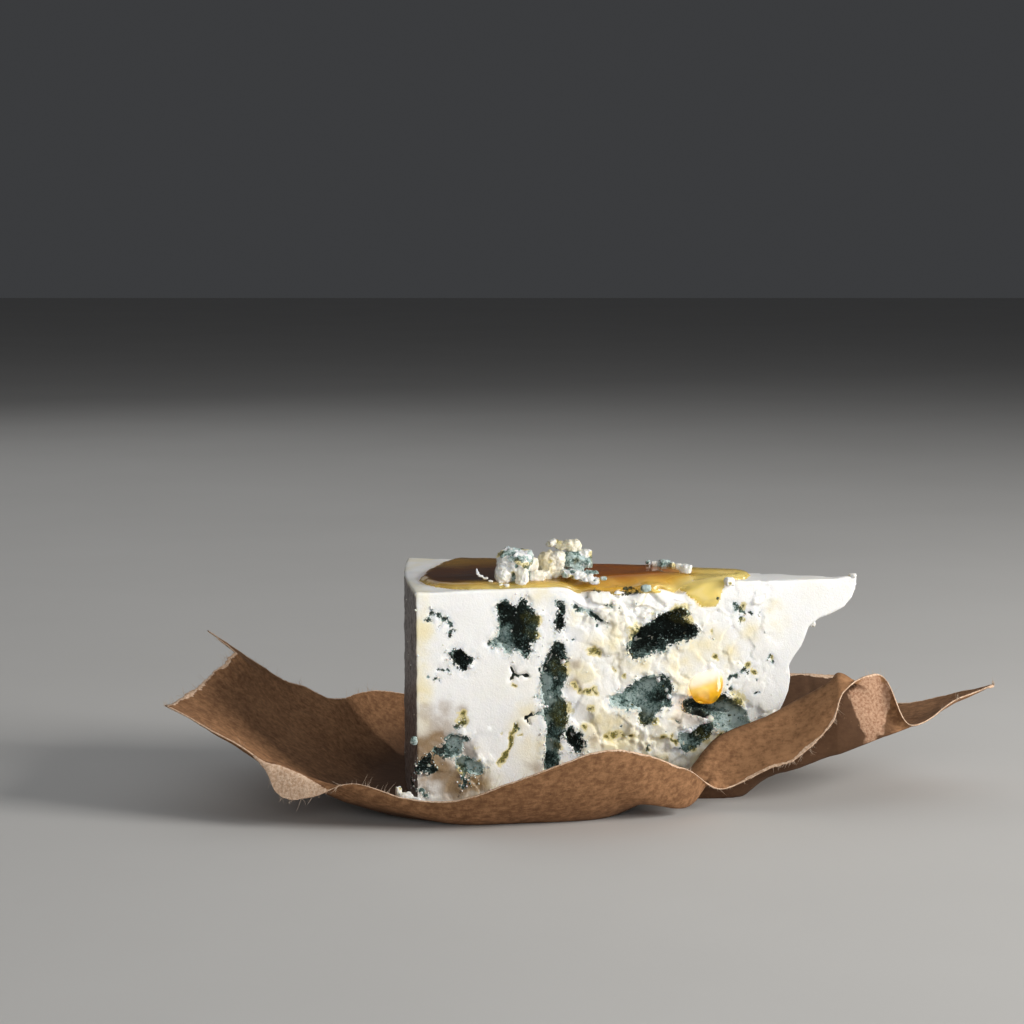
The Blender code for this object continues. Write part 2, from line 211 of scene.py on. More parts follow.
# Cross-sections of the sheet from its left end to its right end, in millimetres. Each has its place
# along x and eight places (y, z) from the near torn edge to the far one: edge, standing wall, fold,
# inner fold, near and far ends of the flat floor, far slope, far edge.
SHEET_SECTIONS = (
    (-85.3, ((-26, 23.6), (-23.5, 23.3), (-19, 23.5), (-13, 24.1),
             (-6, 25), (3, 26.6), (10, 28), (15.5, 29))),
    (-72, ((-37, 14.8), (-36.4, 14.4), (-32, 12.8), (-24, 12),
           (-12, 12.8), (2, 15.2), (12, 18), (22, 21.4))),
    (-66, ((-41, 6.8), (-39, 12.6), (-35, 10.8), (-27, 9),
           (-13, 8.8), (5, 10.8), (17, 14), (27, 17.8))),
    (-59, ((-43, 6.8), (-41, 10.2), (-37, 7.8), (-28, 5.4),
           (-14, 4.4), (6, 5.8), (20, 9.5), (30.5, 14.3))),
    (-50, ((-43.5, 10), (-43, 8), (-38, 4.4), (-31, 2.4),
           (-18, 0.7), (14, 0.3), (32, 5), (44, 14))),
    (-39, ((-44.5, 7), (-43, 4), (-38, 1.8), (-33, 0.3),
           (-18, 0), (34.5, 0), (41, 5), (46.5, 12))),
    (-28, ((-46, 7), (-43.5, 2.6), (-38.5, 0), (-33, 0),
           (-18, 0), (31, 0), (40, 5), (47, 12.5))),
    (-15, ((-48, 11.8), (-44, 4.4), (-37.5, 0), (-31, 0),
           (-16, 0), (28, 0), (39, 5), (47, 13))),
    (4.6, ((-46, 17.8), (-41, 7), (-33, 0.5), (-25, 0),
           (-15, 0), (22, 0), (36, 5), (47, 14.5))),
    (21, ((-35, 11.3), (-30.5, 1.8), (-22.5, 7), (-16, 2),
          (-11, 0), (17, 0), (34, 6), (46.5, 16))),
    (28.8, ((-25.5, 4.6), (-22, 9), (-19, 14.9), (-15, 6.8),
            (-10, -4.6), (13, -2.6), (32, 7), (46, 17))),
    (40, ((-25, 9), (-21.5, 13.6), (-17.5, 19.2), (-17, 8.2),
          (-9, 3.2), (9, 2.4), (31, 8), (45.5, 17.4))),
    (46, ((-25, 11.4), (-21.5, 16.8), (-16, 22.2), (-19, 9),
          (-10, 6.5), (6, 5), (30, 10), (45, 18))),
    (53.5, ((-23.6, 18.9), (-20, 24), (-15.5, 25.8), (-19.4, 12),
            (-11.5, 9.8), (4.6, 7.2), (28.5, 11.4), (44.3, 17.8))),
    (56.7, ((-20, 25.6), (-18, 26.8), (-15, 27.2), (-19.5, 13),
            (-12, 11), (4, 8), (28, 12), (44, 17.8))),
    (65.5, ((-13, 27.9), (-13.5, 24), (-15.5, 19.5), (-18.5, 15.2),
            (-12, 14), (2, 12), (20, 13), (40, 17.4))),
    (71.5, ((-17, 17.3), (-16.8, 17), (-16.4, 16.8), (-15, 16.4),
            (-10, 15.9), (-4, 16), (4, 16.4), (12, 17))),
    (83, ((-9, 21.5), (-8.5, 21), (-7.5, 20.4), (-5, 19.8),
          (-2, 19.3), (2, 19), (5, 19), (8, 19.2))),
    (92.3, ((-2, 23.4), (-1.6, 23.3), (-1.2, 23.2), (-0.8, 23.1),
            (-0.4, 23), (0, 23), (0.5, 22.9), (1, 22.9))))


def through(points, t):
    """The smooth line through a row of points, at t from 0 at the first to 1 at the last."""
    place = min(max(t, 0.0), 1.0) * (len(points) - 1)
    i = min(int(place), len(points) - 2)
    s = place - i
    before = points[max(i - 1, 0)]
    after = points[min(i + 2, len(points) - 1)]
    start, end = points[i], points[i + 1]
    return start + 0.5 * s * ((end - before) + s * ((2 * before - 5 * start + 4 * end - after)
                                                    + s * (3 * (start - end) + after - before)))


SHEET_POINTS = [[Vector((x, y, z)) * MM for y, z in section] for x, section in SHEET_SECTIONS]
for place in SHEET_POINTS[0]:
    place.x += LEFT_EDGE_SLANT * place.y


def add_piece(name, mesh, material):
    obj = bpy.data.objects.new(name, mesh)
    mesh.materials.clear()
    mesh.materials.append(material)
    mesh.shade_smooth()
    bpy.context.scene.collection.objects.link(obj)
    return obj


def mesh_of(bm, name):
    mesh = bpy.data.meshes.new(name)
    bm.to_mesh(mesh)
    bm.free()
    return mesh


def with_modifiers(obj, name):
    """The object's mesh as its modifiers leave it. The object itself is removed."""
    mesh = bpy.data.meshes.new_from_object(obj.evaluated_get(bpy.context.evaluated_depsgraph_get()))
    mesh.name = name
    bpy.data.objects.remove(obj, do_unlink=True)
    return mesh


def column(values):
    return np.array(list(values))


def read_places(mesh):
    flat = np.empty(len(mesh.vertices) * 3, np.float32)
    mesh.vertices.foreach_get("co", flat)
    return flat.reshape(-1, 3).astype(float)


def read_normals(mesh):
    flat = np.empty(len(mesh.vertices) * 3, np.float32)
    mesh.vertex_normals.foreach_get("vector", flat)
    return flat.reshape(-1, 3).astype(float)


def write_places(mesh, places):
    mesh.vertices.foreach_set("co", places.astype(np.float32).ravel())
    mesh.update()


def write_mask(mesh, name, values):
    """A mask on the mesh's points, which its material reads by name."""
    layer = mesh.attributes.new(name, "FLOAT", "POINT")
    layer.data.foreach_set("value", np.clip(values, 0.0, 1.0).astype(np.float32))


def bumps(places, scale, shift=0.0):
    """Noise from -1 to 1 at each place; scale is in bumps to the metre."""
    shift = Vector((shift, -shift, shift))
    return column(noise.noise(Vector(p) * scale + shift) for p in places)


def smooth_between(low, high, values):
    t = np.clip((values - low) / (high - low), 0.0, 1.0)
    return t * t * (3 - 2 * t)


def torn(run, seed):
    """How far a torn edge has come in, in millimetres, at a place along it in millimetres."""
    wander = 0.55 * noise.noise(Vector((run * 0.11, seed, 0.0)))
    wander += 0.40 * noise.noise(Vector((run * 0.37, seed, 4.0)))
    nibble = 0.34 * noise.noise(Vector((run * 1.1, seed, 7.0)))
    nibble += 0.16 * noise.noise(Vector((run * 2.7, seed, 2.0)))
    return max(0.45 + wander + nibble, 0.0)


bm = bmesh.new()
bmesh.ops.create_grid(bm, x_segments=PAPER_COLUMNS, y_segments=PAPER_ROWS, size=0.5)
sheet_uv = bm.loops.layers.uv.new("sheet")
crossings = {}
edge_gap = []
runs = []
for vertex in bm.verts:
    u, t = vertex.co.x + 0.5, vertex.co.y + 0.5
    v = t - 0.06 * math.sin(2 * math.pi * t)
    if round(u, 5) not in crossings:
        inner_u = u + torn(v * 100, LEFT_TEAR) * MM / SHEET_LENGTH * max(0.0, 1 - u / LEFT_PULL)
        crossings[round(u, 5)] = [through(line, inner_u) for line in zip(*SHEET_POINTS)]
    across = crossings[round(u, 5)]
    width = max(sum((b - a).length for a, b in zip(across, across[1:])) / MM, 4.0)
    run = u * SHEET_LENGTH / MM
    across_x = across[0].x / MM
    lapel = float(smooth_between(*LAPEL_START, across_x) * (1 - smooth_between(*LAPEL_END, across_x)))
    near_tear = min(torn(run, NEAR_TEAR) * (1 + 0.9 * lapel), TEAR_LIMIT * width) / width
    far_tear = min(torn(run, FAR_TEAR), TEAR_LIMIT * width) / width
    v_in = v + near_tear * max(0.0, 1 - v / SIDE_PULL) - far_tear * max(0.0, 1 - (1 - v) / SIDE_PULL)
    point = through(across, v_in)
    if u < LEFT_PULL:
        point.x += torn(v * 100, LEFT_TEAR) * MM * (1 - u / LEFT_PULL)
    point += TORN_TAIL * max(0.0, 1 - 26 * u) * max(0.0, 1 - 14 * (1 - v))
    vertex.co = point
    edge_gap.append(min(v * width, (1 - v) * width, run, SHEET_LENGTH / MM - run))
    runs.append((across_x, v, lapel, v * width))
for face in bm.faces:
    for loop in face.loops:
        along_x, _, _, across_width = runs[loop.vert.index]
        loop[sheet_uv].uv = (along_x * MM, across_width * MM)
bm.normal_update()
# The creases of the part that stands clear of the table.
for vertex in bm.verts:
    lifted = min(max(vertex.co.z / MM - 0.8, 0.0) / 3.0, 1.0)
    fold = abs(noise.noise(vertex.co * 75 + Vector((3, 1, 5)))) + 0.5 * abs(noise.noise(vertex.co * 170))
    crease = 0.34 * (0.42 - fold) + 0.07 * noise.noise(vertex.co * 420)
    vertex.co += vertex.normal * crease * lifted * MM
    vertex.co.z = max(vertex.co.z, 0.0)
edge_gap = np.array(edge_gap)
runs = np.array(runs)
rim = [vertex for vertex in bm.verts if vertex.is_boundary]
fibre_roots = []
for vertex in rim:
    inner = [e.other_vert(vertex) for e in vertex.link_edges if not e.is_boundary]
    if inner:
        outward = (vertex.co - inner[0].co).normalized()
        fibre_roots.append((vertex.co.copy(), outward, vertex.normal.copy()))
sheet_mesh = mesh_of(bm, "brown_paper")
sheet_places = read_places(sheet_mesh)
shift = (np.array(PAPER_LOW) + np.array(PAPER_HIGH)) / 2 - (sheet_places.min(0) + sheet_places.max(0)) / 2
shift[2] = 0.0
sheet_places += shift
write_places(sheet_mesh, sheet_places)

# Where the sheet has split along its thickness, its pale inner fibres show: in a thin line along
# every torn edge, in a wide patch at the near left, and where the lapel was torn off on the right.
x, y, z = (sheet_places / MM).T
ragged = 1.0 + 0.9 * bumps(sheet_places, 170, 2) + 0.5 * bumps(sheet_places, 600, 3)
band = 0.45 + 0.75 * np.clip(bumps(sheet_places, 60, 8), 0, 1)
band += 1.1 * runs[:, 2] * (1 + 0.8 * bumps(sheet_places, 210, 4))
split = 1 - smooth_between(0.6, 1.3, edge_gap / (band * ragged + 0.05))
lobe_end = np.abs(x - LOBE_MIDDLE) / LOBE_HALF
lobe_depth = LOBE_DEPTH * np.sqrt(np.clip(1.0 - lobe_end ** 2, 0, 1)) + 0.004 * ragged
lobe = 1 - smooth_between(-0.008, 0.012, runs[:, 1] - lobe_depth)
patch_x, patch_y, patch_z = LAPEL_PATCH
from_patch = np.sqrt((x - patch_x) ** 2 / 24 + (y - patch_y) ** 2 / 40 + (z - patch_z) ** 2 / 70)
lapel_end = 1 - smooth_between(0.7, 1.15, from_patch * (0.6 + 0.4 * ragged))
write_mask(sheet_mesh, "split", np.maximum(split, lobe))
write_mask(sheet_mesh, "rubbed", np.maximum(lapel_end, 0.35 * lobe))
write_mask(sheet_mesh, "lapel", runs[:, 2])
# Painted shade: round the cheese, and up the far side by the point, the sheet is painted darker where the
# wedge shades it.
across_sheet = runs[:, 1] + 0.05 * bumps(sheet_places, 60, 5)
far_side = smooth_between(0.72, 0.95, across_sheet - smooth_between(4, 26, x))
left_limit = smooth_between(-60, -44, x + 5 * bumps(sheet_places, 50, 9))
painted_shade = smooth_between(0.20, 0.34, across_sheet) * (1 - far_side)
painted_shade = painted_shade * left_limit * (1 - smooth_between(64, 70, x))
write_mask(sheet_mesh, "painted_shade", painted_shade)


def mask(tree, name):
    return add_node(tree, "ShaderNodeAttribute", {"attribute_name": name}).outputs["Fac"]


brown_paper, tree, shader = new_material("brown_paper")
along_sheet = add_node(tree, "ShaderNodeUVMap", {"uv_map": "sheet"}).outputs["UV"]
stretched = add_node(tree, "ShaderNodeMapping", Vector=along_sheet, Scale=(0.10, 1.0, 1.0))
streaks = add_node(tree, "ShaderNodeTexNoise", Vector=stretched.outputs["Vector"],
                   Scale=420.0, Detail=3.0, Roughness=0.6)
streaks = times(tree, streaks.outputs["Fac"], mask(tree, "lapel"))
clouds = object_noise(tree, 55.0, detail=4.0)
mottle = object_noise(tree, 620.0, detail=5.0, roughness=0.75)
fibres = object_noise(tree, 1500.0, detail=2.0, stretch=(0.3, 1.0, 1.0))
fleck = object_noise(tree, 1700.0, detail=2.0, roughness=0.7)
tone = plus(tree, times(tree, mottle, 0.55), times(tree, clouds, 0.20))
tone = plus(tree, tone, times(tree, fibres, 0.25))
tone = plus(tree, tone, times(tree, streaks, 0.16))
colour = mixed(tree, between(tree, tone, 0.36, 0.68), (0.150, 0.066, 0.026, 1), (0.390, 0.200, 0.092, 1))
# Painted shade on the sheet round the cheese, in dark brown.
colour = mixed(tree, times(tree, mask(tree, "painted_shade"), 0.85), colour, (0.062, 0.028, 0.013, 1))
colour = mixed(tree, between(tree, fleck, 0.66, 0.78), colour, (0.085, 0.040, 0.018, 1))
colour = mixed(tree, times(tree, between(tree, fleck, 0.34, 0.22), 0.45), colour, (0.50, 0.31, 0.18, 1))
rubbed = plus(tree, mask(tree, "rubbed"), times(tree, mottle, 0.6))
rubbed = between(tree, rubbed, 0.60, 1.00)
rubbed_tone = mixed(tree, between(tree, fleck, 0.3, 0.7), (0.31, 0.160, 0.090, 1), (0.53, 0.325, 0.205, 1))
colour = mixed(tree, rubbed, colour, rubbed_tone)
fluff = mixed(tree, between(tree, fleck, 0.3, 0.7), (0.55, 0.345, 0.215, 1), (0.82, 0.60, 0.43, 1))
opened = plus(tree, mask(tree, "split"), times(tree, fleck, 0.7))
opened = between(tree, opened, 0.78, 1.00)
colour = mixed(tree, opened, colour, fluff)
tree.links.new(colour, shader.inputs["Base Color"])
shader.inputs["Roughness"].default_value = 0.86
shader.inputs["Specular IOR Level"].default_value = 0.3
fuzz = plus(tree, times(tree, mottle, 0.5), times(tree, fleck, 0.4))
torn_fuzz = times(tree, fleck, worked(tree, "MAXIMUM", opened, rubbed))
fuzz = plus(tree, fuzz, times(tree, torn_fuzz, 1.3))
relief = add_node(tree, "ShaderNodeBump", Strength=0.5, Distance=PAPER_RELIEF, Height=fuzz)
tree.links.new(relief.outputs["Normal"], shader.inputs["Normal"])

sheet = add_piece("brown_paper", sheet_mesh, brown_paper)
thick = sheet.modifiers.new("thickness", "SOLIDIFY")
thick.thickness = PAPER_THICKNESS
thick.offset = 1.0
sheet_mesh = with_modifiers(sheet, "brown_paper")
sheet_places = read_places(sheet_mesh)
write_places(sheet_mesh, np.clip(sheet_places, np.array(PAPER_LOW), np.array(PAPER_HIGH)))
sheet = add_piece("brown_paper", sheet_mesh, brown_paper)
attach(sheet, "root")
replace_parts(sheet, "paper_wrap")


# ---------------------------------------------------------------------------------------------
# The fibres of the paper. Loose hairs of pulp, thinner than a tenth of a millimetre, which stand
# out of the torn edges singly and in tufts.
# ---------------------------------------------------------------------------------------------
FIBRE_COUNT = 1100
FIBRE_RADIUS = 0.035 * MM
FIBRE_LENGTHS = (0.4, 0.6, 0.8, 1.1, 1.6, 2.6)
FIBRE_KNOTS = 4
FIBRE_CLEARANCE = Vector((1, 1, 1)) * 0.1 * MM
draw = random.Random(12)
hairs = bpy.data.curves.new("paper_fibres", "CURVE")
hairs.dimensions = "3D"
hairs.bevel_depth = FIBRE_RADIUS
hairs.bevel_resolution = 0
hairs.use_fill_caps = True
low_limit = PAPER_LOW + FIBRE_CLEARANCE
high_limit = PAPER_HIGH - FIBRE_CLEARANCE
tuft = (0.0, 1.0)
for i in range(FIBRE_COUNT):
    if draw.random() < 0.6 or i == 0:
        root, outward, up = fibre_roots[draw.randrange(len(fibre_roots))]
        tuft = (draw.uniform(-0.7, 0.7), draw.uniform(0.5, 1.0))
    aside = outward.cross(up)
    heading = outward + aside * (tuft[0] + draw.uniform(-0.6, 0.6)) + up * draw.uniform(-0.5, 0.8)
    heading.normalize()
    length = MM * tuft[1] * draw.choice(FIBRE_LENGTHS)
    bend = Vector((draw.uniform(-1, 1), draw.uniform(-1, 1), draw.uniform(-0.6, 1))) * length * 0.35
    start = root + Vector(shift) + aside * draw.uniform(-0.3, 0.3) * MM - heading * 0.15 * MM
    hair = hairs.splines.new("POLY")
    hair.points.add(FIBRE_KNOTS)
    for step, knot in enumerate(hair.points):
        share = step / FIBRE_KNOTS
        place = start + heading * length * share + bend * share * share
        place = [min(max(c, a), b) for c, a, b in zip(place, low_limit, high_limit)]
        knot.co = (*place, 1.0)
        knot.radius = 1.0 - 0.7 * share
holder = bpy.data.objects.new("paper_fibres", hairs)
bpy.context.scene.collection.objects.link(holder)
pulp, tree, shader = new_material("paper_pulp")
tone = object_noise(tree, 500.0)
colour = mixed(tree, tone, (0.42, 0.28, 0.18, 1), (0.78, 0.64, 0.50, 1))
tree.links.new(colour, shader.inputs["Base Color"])
shader.inputs["Roughness"].default_value = 0.8
fibres = add_piece("paper_fibres", with_modifiers(holder, "paper_fibres"), pulp)
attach(fibres, "root")


# ---------------------------------------------------------------------------------------------
# The cheese wedge. A slice of a halved wheel: two cut faces that meet at a broken point, a
# natural rind on the round side, hollows lined with blue-green mould, and the slots left by the
# needles that let the air in. Soft white paste, wire-cut and then torn at the point.
# ---------------------------------------------------------------------------------------------
WEDGE_LOW, WEDGE_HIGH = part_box("cheese_wedge")
WEDGE_ANGLE = math.radians(32.2)
HALF_ANGLE = WEDGE_ANGLE / 2
FRONT_LENGTH = 103 * MM
BACK_LENGTH = 107 * MM
RIND_BULGE = 1.6
WEDGE_POINT = Vector((WEDGE_HIGH.x, (WEDGE_LOW.y + WEDGE_HIGH.y) / 2 - 0.45 * MM, 0.0))
WEDGE_BASE = WEDGE_LOW.z
WEDGE_TOP = WEDGE_HIGH.z
LUMP_SEED = 4
WEDGE_GRAIN = 0.34 * MM
HOLLOW_GRAIN = 0.28 * MM
WEDGE_TRIANGLES = 192000
PASTE_RELIEF = 0.3 * MM
FRONT, BACK = -1, 1


def face_direction(side):
    """Along a cut face from the rind towards the point."""
    return Vector((math.cos(HALF_ANGLE), -side * math.sin(HALF_ANGLE), 0.0))


def face_normal(side):
    return Vector((math.sin(HALF_ANGLE), side * math.cos(HALF_ANGLE), 0.0))


def on_face(side, along, height, inside=0.0):
    """A place on a cut face, in millimetres from its rind corner, above the table and into the cheese."""
    place = WEDGE_POINT - face_direction(side) * (FRONT_LENGTH - along * MM)
    return place - face_normal(side) * inside * MM + Vector((0, 0, height * MM))


def remeshed(obj, grain, name):
    """One closed skin round all of the object's lumps, in faces of one size."""
    skin = obj.modifiers.new("skin", "REMESH")
    skin.mode = "VOXEL"
    skin.voxel_size = grain
    return with_modifiers(obj, name)


# The pockets of the front face: how deep, how wide the floor is against the mouth, and the mouth's
# outline in millimetres along the face and above the table.
FRONT_POCKETS = (
    (7.5, 0.72, (
        (18.3, 44.4), (19.1, 45.4), (20.2, 45.8), (21.2, 44.6), (22.5, 43.9), (23.5, 45.2), (24.5, 46.2),
        (24.9, 44.2), (27.2, 42.4), (26.8, 39.5), (26.7, 36.7), (25.1, 36.3), (25.6, 34.5), (25, 33.3),
        (23.8, 34.6), (21.5, 34.3), (20.2, 34.3), (19.5, 36.2), (17.8, 35.8), (16.9, 36.7), (18.6, 37.8),
        (18.9, 39.6), (19.4, 40.8), (19.2, 42.4), (18.5, 43.9))),
    (4.5, 0.5, (
        (7.3, 34.8), (9, 35.2), (10.3, 34.9), (11.8, 33.8), (12.9, 33.3), (11.8, 32.3), (11.1, 30.7),
        (10, 31.7), (8.7, 33.2))),
    (2.6, 0.6, (
        (32.2, 45.6), (33.4, 44.6), (33.4, 43.3), (33, 41), (33.4, 40), (32.7, 38.1), (31.9, 39.5),
        (32.1, 41.6), (32.6, 42.8))),
    (4.4, 0.72, (
        (31.8, 36.5), (30.9, 34.5), (29.9, 33), (29.2, 31.5), (28.7, 30.2), (28.9, 27.4), (28.4, 26.2),
        (28.6, 25.1), (29.1, 22.3), (28.6, 20.5), (29.6, 18.9), (30.1, 17.1), (29.8, 14), (29.6, 11.2),
        (29.2, 9.1), (29.6, 5.4), (31.4, 5.2), (32, 9.2), (32, 11), (32.3, 13.3), (32.5, 15.1),
        (33.6, 17.9), (34, 20.2), (33.6, 22.5), (32.4, 24.1), (32.8, 25.9), (33.6, 27.7), (34.1, 30),
        (32.5, 31.3), (33.8, 32.5), (33.3, 34.1), (33.3, 35.9))),
    (9.5, 0.66, (
        (48.3, 34.2), (49.3, 36.2), (51, 37.9), (53, 38.8), (54.5, 39.4), (54.8, 40.4), (56.3, 41.3),
        (58.3, 42), (60.6, 42.6), (62.5, 41.5), (60.9, 40.6), (62.2, 39.1), (64, 38.3), (65.1, 37.2),
        (64, 36.2), (62.2, 35.7), (60.2, 34.9), (57.6, 35), (56.8, 34.4), (57.1, 33), (54.8, 33.3),
        (52.5, 32.4), (49.7, 32), (48.7, 33.1))),
    (5.2, 0.74, (
        (44.1, 22.8), (45.5, 23.5), (47.3, 23.7), (48.5, 24.9), (50, 26.3), (52.1, 26.9), (54.1, 27.2),
        (56.8, 27.3), (58, 26.4), (58.2, 24.2), (58.5, 20.7), (57.2, 21.1), (55.9, 20.1), (54.9, 18.9),
        (53.9, 17.3), (52.6, 16.8), (51.5, 17.6), (51.3, 19.4), (50.1, 20.7), (48, 20.5), (45.5, 21.1),
        (44.5, 21.9))),
    (5.4, 0.6, (
        (61.3, 20.4), (63.3, 21.1), (67.8, 20.8), (71.1, 22.4), (72.8, 21.2), (75.7, 18.6), (74.4, 18),
        (70.3, 18.2), (66.6, 18.3), (62.1, 19.8))),
    (2, 0.8, (
        (66.6, 18.9), (70.3, 19.2), (74.4, 18.8), (75.9, 18.3), (77.4, 15), (75.3, 13.9), (69.9, 14.4),
        (68.3, 17.1))),
    (4.6, 0.6, (
        (61.2, 10.8), (60.9, 13.6), (63.2, 13.7), (64.6, 14.1), (66.2, 15.6), (68.3, 15.9), (68.7, 14.7),
        (66.3, 12.5), (64.2, 11), (62.2, 10.2))),
    (3.6, 0.6, (
        (34, 15.8), (34.9, 17), (35.9, 15.3), (37.2, 15.5), (37.2, 14.3), (37.8, 12.8), (37.7, 11.6),
        (36.7, 11.5), (36, 12.2), (34.9, 13.2))),
    (2.2, 0.7, (
        (6.9, 15.5), (7.7, 16.4), (11.5, 16.1), (11.8, 15.7), (10.4, 15.4), (10.2, 13.8), (10, 12.3),
        (8.4, 12.1), (6.1, 12), (3.8, 13.2), (4, 13.9), (5.8, 13.6), (7.1, 14.5))),
    (1.9, 0.7, (
        (8.4, 11.4), (10.8, 11.5), (12.8, 10.6), (14.9, 9.5), (14.9, 7.9), (12.8, 7.8), (11.3, 8.9),
        (9.7, 9.3), (8.7, 10.3))),
    (2.2, 0.7, (
        (-0.6, 9.3), (1.4, 11.8), (3.3, 12.5), (2.5, 10.7), (3.5, 10.4), (4.5, 9.3), (4, 8.7), (2.5, 9.2),
        (0.7, 8.9))),
    (2.4, 0.5, (
        (10.7, 8.9), (11.5, 6.6), (10.5, 4.6), (9.8, 4.9), (10.5, 6.6))))
# The hollows of the back face, rounder: middle along the face and above the table, half width,
# half height, depth, tilt in degrees, and how square the corners are.
BACK_HOLLOWS = (
    (58, 27, 1.6, 12, 4.6, 4, 0.2), (38, 31.5, 5.2, 3.4, 8, -18, 0.3), (32.4, 33, 3.2, 2.2, 6, -30, 0.2),
    (17, 18.4, 3.2, 3.6, 6, 12, 0.4), (18.6, 14, 2.2, 2.2, 4.6, 0, 0.2), (44, 12, 4.8, 1.7, 4.4, 10, 0.2),
    (39.2, 13.2, 2.4, 1.3, 3, -8, 0.2), (72, 37, 2.4, 1.8, 4, -15, 0.3), (68, 21, 3.4, 2.6, 5, 24, 0.2),
    (10, 37, 2.2, 1.4, 3.4, 30, 0.3), (26, 8, 2.8, 1, 2.4, 0, 0.2), (51, 41, 2.2, 1.2, 3, 12, 0.2))

# The break at the point: distance back from the point and height above the table, from the
# overhanging lip at the top down to the base.
BREAK_PROFILE = (
    (-2.0, 46.8), (0.2, 46.6), (0.5, 45.4), (1.3, 43.4), (3.0, 41.2), (5.6, 39.9), (8.8, 38.8),
    (11.2, 37.0), (12.0, 34.6), (12.9, 32.4), (14.6, 30.2), (15.7, 28.2), (15.4, 25.6), (15.8, 22.6),
    (17.2, 19.2), (19.0, 15.4), (21.0, 11.2), (24.4, 6.0), (28.6, -1.0), (-2.0, -1.0))


# How far in front of the face each pocket's cutter starts, in millimetres.
MOUTH_CLEAR = 1.5


def add_pocket(bm, depth, floor, outline):
    """A pocket to be taken out of the front face: its mouth pushed in, narrowing towards its floor."""
    mouth = bm.faces.new([bm.verts.new(on_face(FRONT, a, h, -MOUTH_CLEAR)) for a, h in outline])
    for reach, narrowing in ((MOUTH_CLEAR + 0.5 * depth, 1 - 0.3 * (1 - floor)), (0.5 * depth, floor)):
        pushed = bmesh.ops.extrude_face_region(bm, geom=[mouth])["geom"]
        rim = [v for v in pushed if isinstance(v, bmesh.types.BMVert)]
        mouth = next(f for f in pushed if isinstance(f, bmesh.types.BMFace))
        bmesh.ops.translate(bm, verts=rim, vec=-face_normal(FRONT) * reach * MM)
        middle = Matrix.Translation(-mouth.calc_center_median())
        bmesh.ops.scale(bm, verts=rim, vec=(narrowing,) * 3, space=middle)


def add_hollow(bm, along, height, half_width, half_height, depth, tilt, square):
    """A ragged lump centred on the back face, rounder or squarer, to be taken out of the wedge."""
    lump = bmesh.ops.create_icosphere(bm, subdivisions=3, radius=1.0)["verts"]
    seed = Vector((along * 0.37, height * 0.61, 3.0))
    for vertex in lump:
        direction = vertex.co.copy()
        boxed = direction / max(abs(direction.x), abs(direction.y), abs(direction.z))
        ragged = 0.30 * noise.noise(direction * 1.9 + seed) + 0.16 * noise.noise(direction * 4.3 + seed)
        vertex.co = direction.lerp(boxed, square) * (1.0 + ragged)
    placed = (Matrix.Translation(on_face(BACK, along, height))
              @ Matrix.Rotation(-HALF_ANGLE, 4, "Z") @ Matrix.Rotation(math.radians(-tilt), 4, "Y"))
    bmesh.ops.scale(bm, verts=lump, vec=Vector((half_width, depth, half_height)) * MM)
    bmesh.ops.transform(bm, verts=lump, matrix=placed)


bm = bmesh.new()
for pocket in FRONT_POCKETS:
    add_pocket(bm, *pocket)
for pocket in list(bm.faces):
    if len(pocket.verts) > 4:
        bmesh.ops.triangulate(bm, faces=[pocket])
for hollow in BACK_HOLLOWS:
    add_hollow(bm, *hollow)
bmesh.ops.recalc_face_normals(bm, faces=bm.faces)
plain = bpy.data.materials.new("plain")
hollows = add_piece("hollows", mesh_of(bm, "hollows"), plain)
hollows = add_piece("hollows", remeshed(hollows, HOLLOW_GRAIN, "hollows"), plain)
bm = bmesh.new()
bm.from_mesh(hollows.data)
bmesh.ops.smooth_vert(bm, verts=bm.verts, factor=0.5, use_axis_x=True, use_axis_y=True, use_axis_z=True)
bm.normal_update()
for vertex in bm.verts:
    ragged = 0.34 * noise.noise(vertex.co * 480) + 0.30 * noise.noise(vertex.co * 1150) + 0.10
    vertex.co += vertex.normal * ragged * MM
hollow_tree = BVHTree.FromBMesh(bm)
bm.to_mesh(hollows.data)
bm.free()

NEAR_CORNER = on_face(FRONT, 0.0, 0.0)
FAR_CORNER = WEDGE_POINT - face_direction(BACK) * BACK_LENGTH
RIND_RUN = FAR_CORNER - NEAR_CORNER
RIND_NORMAL = Vector((0, 0, 1)).cross(RIND_RUN).normalized()
RIND_STEPS = 24
bm = bmesh.new()
rind = []
for i in range(RIND_STEPS + 1):
    bulge = RIND_NORMAL * RIND_BULGE * math.sin(math.pi * i / RIND_STEPS) * MM
    rind.append(NEAR_CORNER + RIND_RUN * i / RIND_STEPS + bulge)
bm.faces.new([bm.verts.new(place) for place in (WEDGE_POINT, *rind)])
risen = bmesh.ops.extrude_face_region(bm, geom=bm.faces[:], use_keep_orig=True)["geom"]
bmesh.ops.translate(bm, verts=[v for v in risen if isinstance(v, bmesh.types.BMVert)],
                    vec=(0, 0, WEDGE_TOP - WEDGE_BASE))
bmesh.ops.translate(bm, verts=bm.verts, vec=(0, 0, WEDGE_BASE))
bmesh.ops.recalc_face_normals(bm, faces=bm.faces)
wedge_block = add_piece("wedge_block", mesh_of(bm, "wedge_block"), plain)

